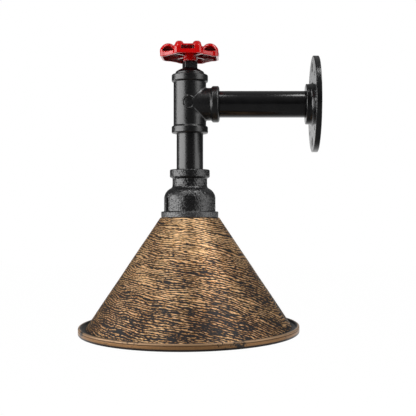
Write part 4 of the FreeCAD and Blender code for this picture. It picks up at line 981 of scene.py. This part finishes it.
def background_rays(n):
    """1 for camera rays, and 1 for the rays that gloss and glass send on."""
    path = n.add("ShaderNodeLightPath").outputs
    mirrored = n.math("MAXIMUM", path["Is Glossy Ray"], path["Is Transmission Ray"])
    return path["Is Camera Ray"], mirrored


def make_world():
    """White behind the object, dim behind the camera, and a soft light all round."""
    white, ambient = (1.0, 1.0, 1.0), (0.25, 0.25, 0.25)
    overhead, overhead_right, overhead_back = 0.1, 0.3, 0.25
    world = bpy.data.worlds.new("studio")
    world.use_nodes = True
    bpy.context.scene.world = world
    n = Nodes(tree=world.node_tree)
    camera, mirrored = background_rays(n)
    x, y, z = n.split(n.add("ShaderNodeTexCoord").outputs["Generated"])
    sky = n.total((n.math("MAXIMUM", x, 0.0), overhead_right),
                  (n.math("MAXIMUM", y, 0.0), overhead_back))
    sky = n.math("MULTIPLY", n.math("MAXIMUM", z, 0.0), n.math("ADD", sky, overhead))
    backdrop = n.ramp(y, [(0.93, 0.03), (0.992, 1.0)])
    strength = n.mix(mirrored, ambient, n.math("MAXIMUM", backdrop, sky))
    strength = n.mix(camera, strength, white)
    background = n.add("ShaderNodeBackground", {"Color": (1, 1, 1, 1), "Strength": strength})
    out = n.add("ShaderNodeOutputWorld")
    n.tree.links.new(background.outputs[0], out.inputs["Surface"])


def make_floor():
    """Pale floor that shows as white and keeps a faint shadow."""
    half, height = 6.0, -0.62
    shown, glow_share = (1.02, 1.02, 1.02), 0.97
    mesh = bpy.data.meshes.new("floor")
    mesh.from_pydata([(-half, -half, height), (half, -half, height),
                      (half, half, height), (-half, half, height)], [], [(0, 1, 2, 3)])
    floor = bpy.data.objects.new("floor", mesh)
    bpy.context.scene.collection.objects.link(floor)
    n = Nodes("floor")
    n.set(colour=(0.9, 0.9, 0.9), rough=0.9, specular=0.2)
    camera, mirrored = background_rays(n)
    behind = n.split(n.place())[1]
    strength = n.mix(camera, n.ramp(behind, [(0.2, 0.1), (0.95, 1.0)]), shown)
    seen = n.math("MULTIPLY", n.math("MAXIMUM", camera, mirrored), glow_share)
    glow = n.add("ShaderNodeEmission", {"Color": (1, 1, 1, 1), "Strength": strength})
    mixed = n.add("ShaderNodeMixShader", {0: seen, 1: n.shader.outputs[0], 2: glow.outputs[0]})
    out = next(node for node in n.tree.nodes if node.type == "OUTPUT_MATERIAL")
    n.tree.links.new(mixed.outputs[0], out.inputs["Surface"])
    mesh.materials.append(n.material)


def make_lights():
    fittings, shade = (-0.1, 0, 0.07), (-0.13, 0, -0.17)
    area_light("left", (-1.15, -0.4, 0.07), fittings, (1.4, 0.75), 12.2)
    area_light("right", (1.12, -0.4, 0.09), (-0.1, 0, 0.09), (1.1, 1.1), 6.0)
    area_light("left_high", (-0.5, -0.46, 0.87), shade, (0.25, 0.7), 2.6)
    area_light("right_high", (0.41, -0.3, 0.87), shade, (0.3, 0.7), 3.8)


make_camera()
make_castings()
make_pipe("arm_tube", "arm_pipe", 1.5, 112.5, "arm", lying=True)
make_pipe("drop_tube", "drop_pipe", -79.0, -16.5, "pipe")
make_wheel()
make_shade()
make_inside()
make_world()
make_floor()
make_lights()
bpy.context.scene.view_settings.view_transform = "Standard"
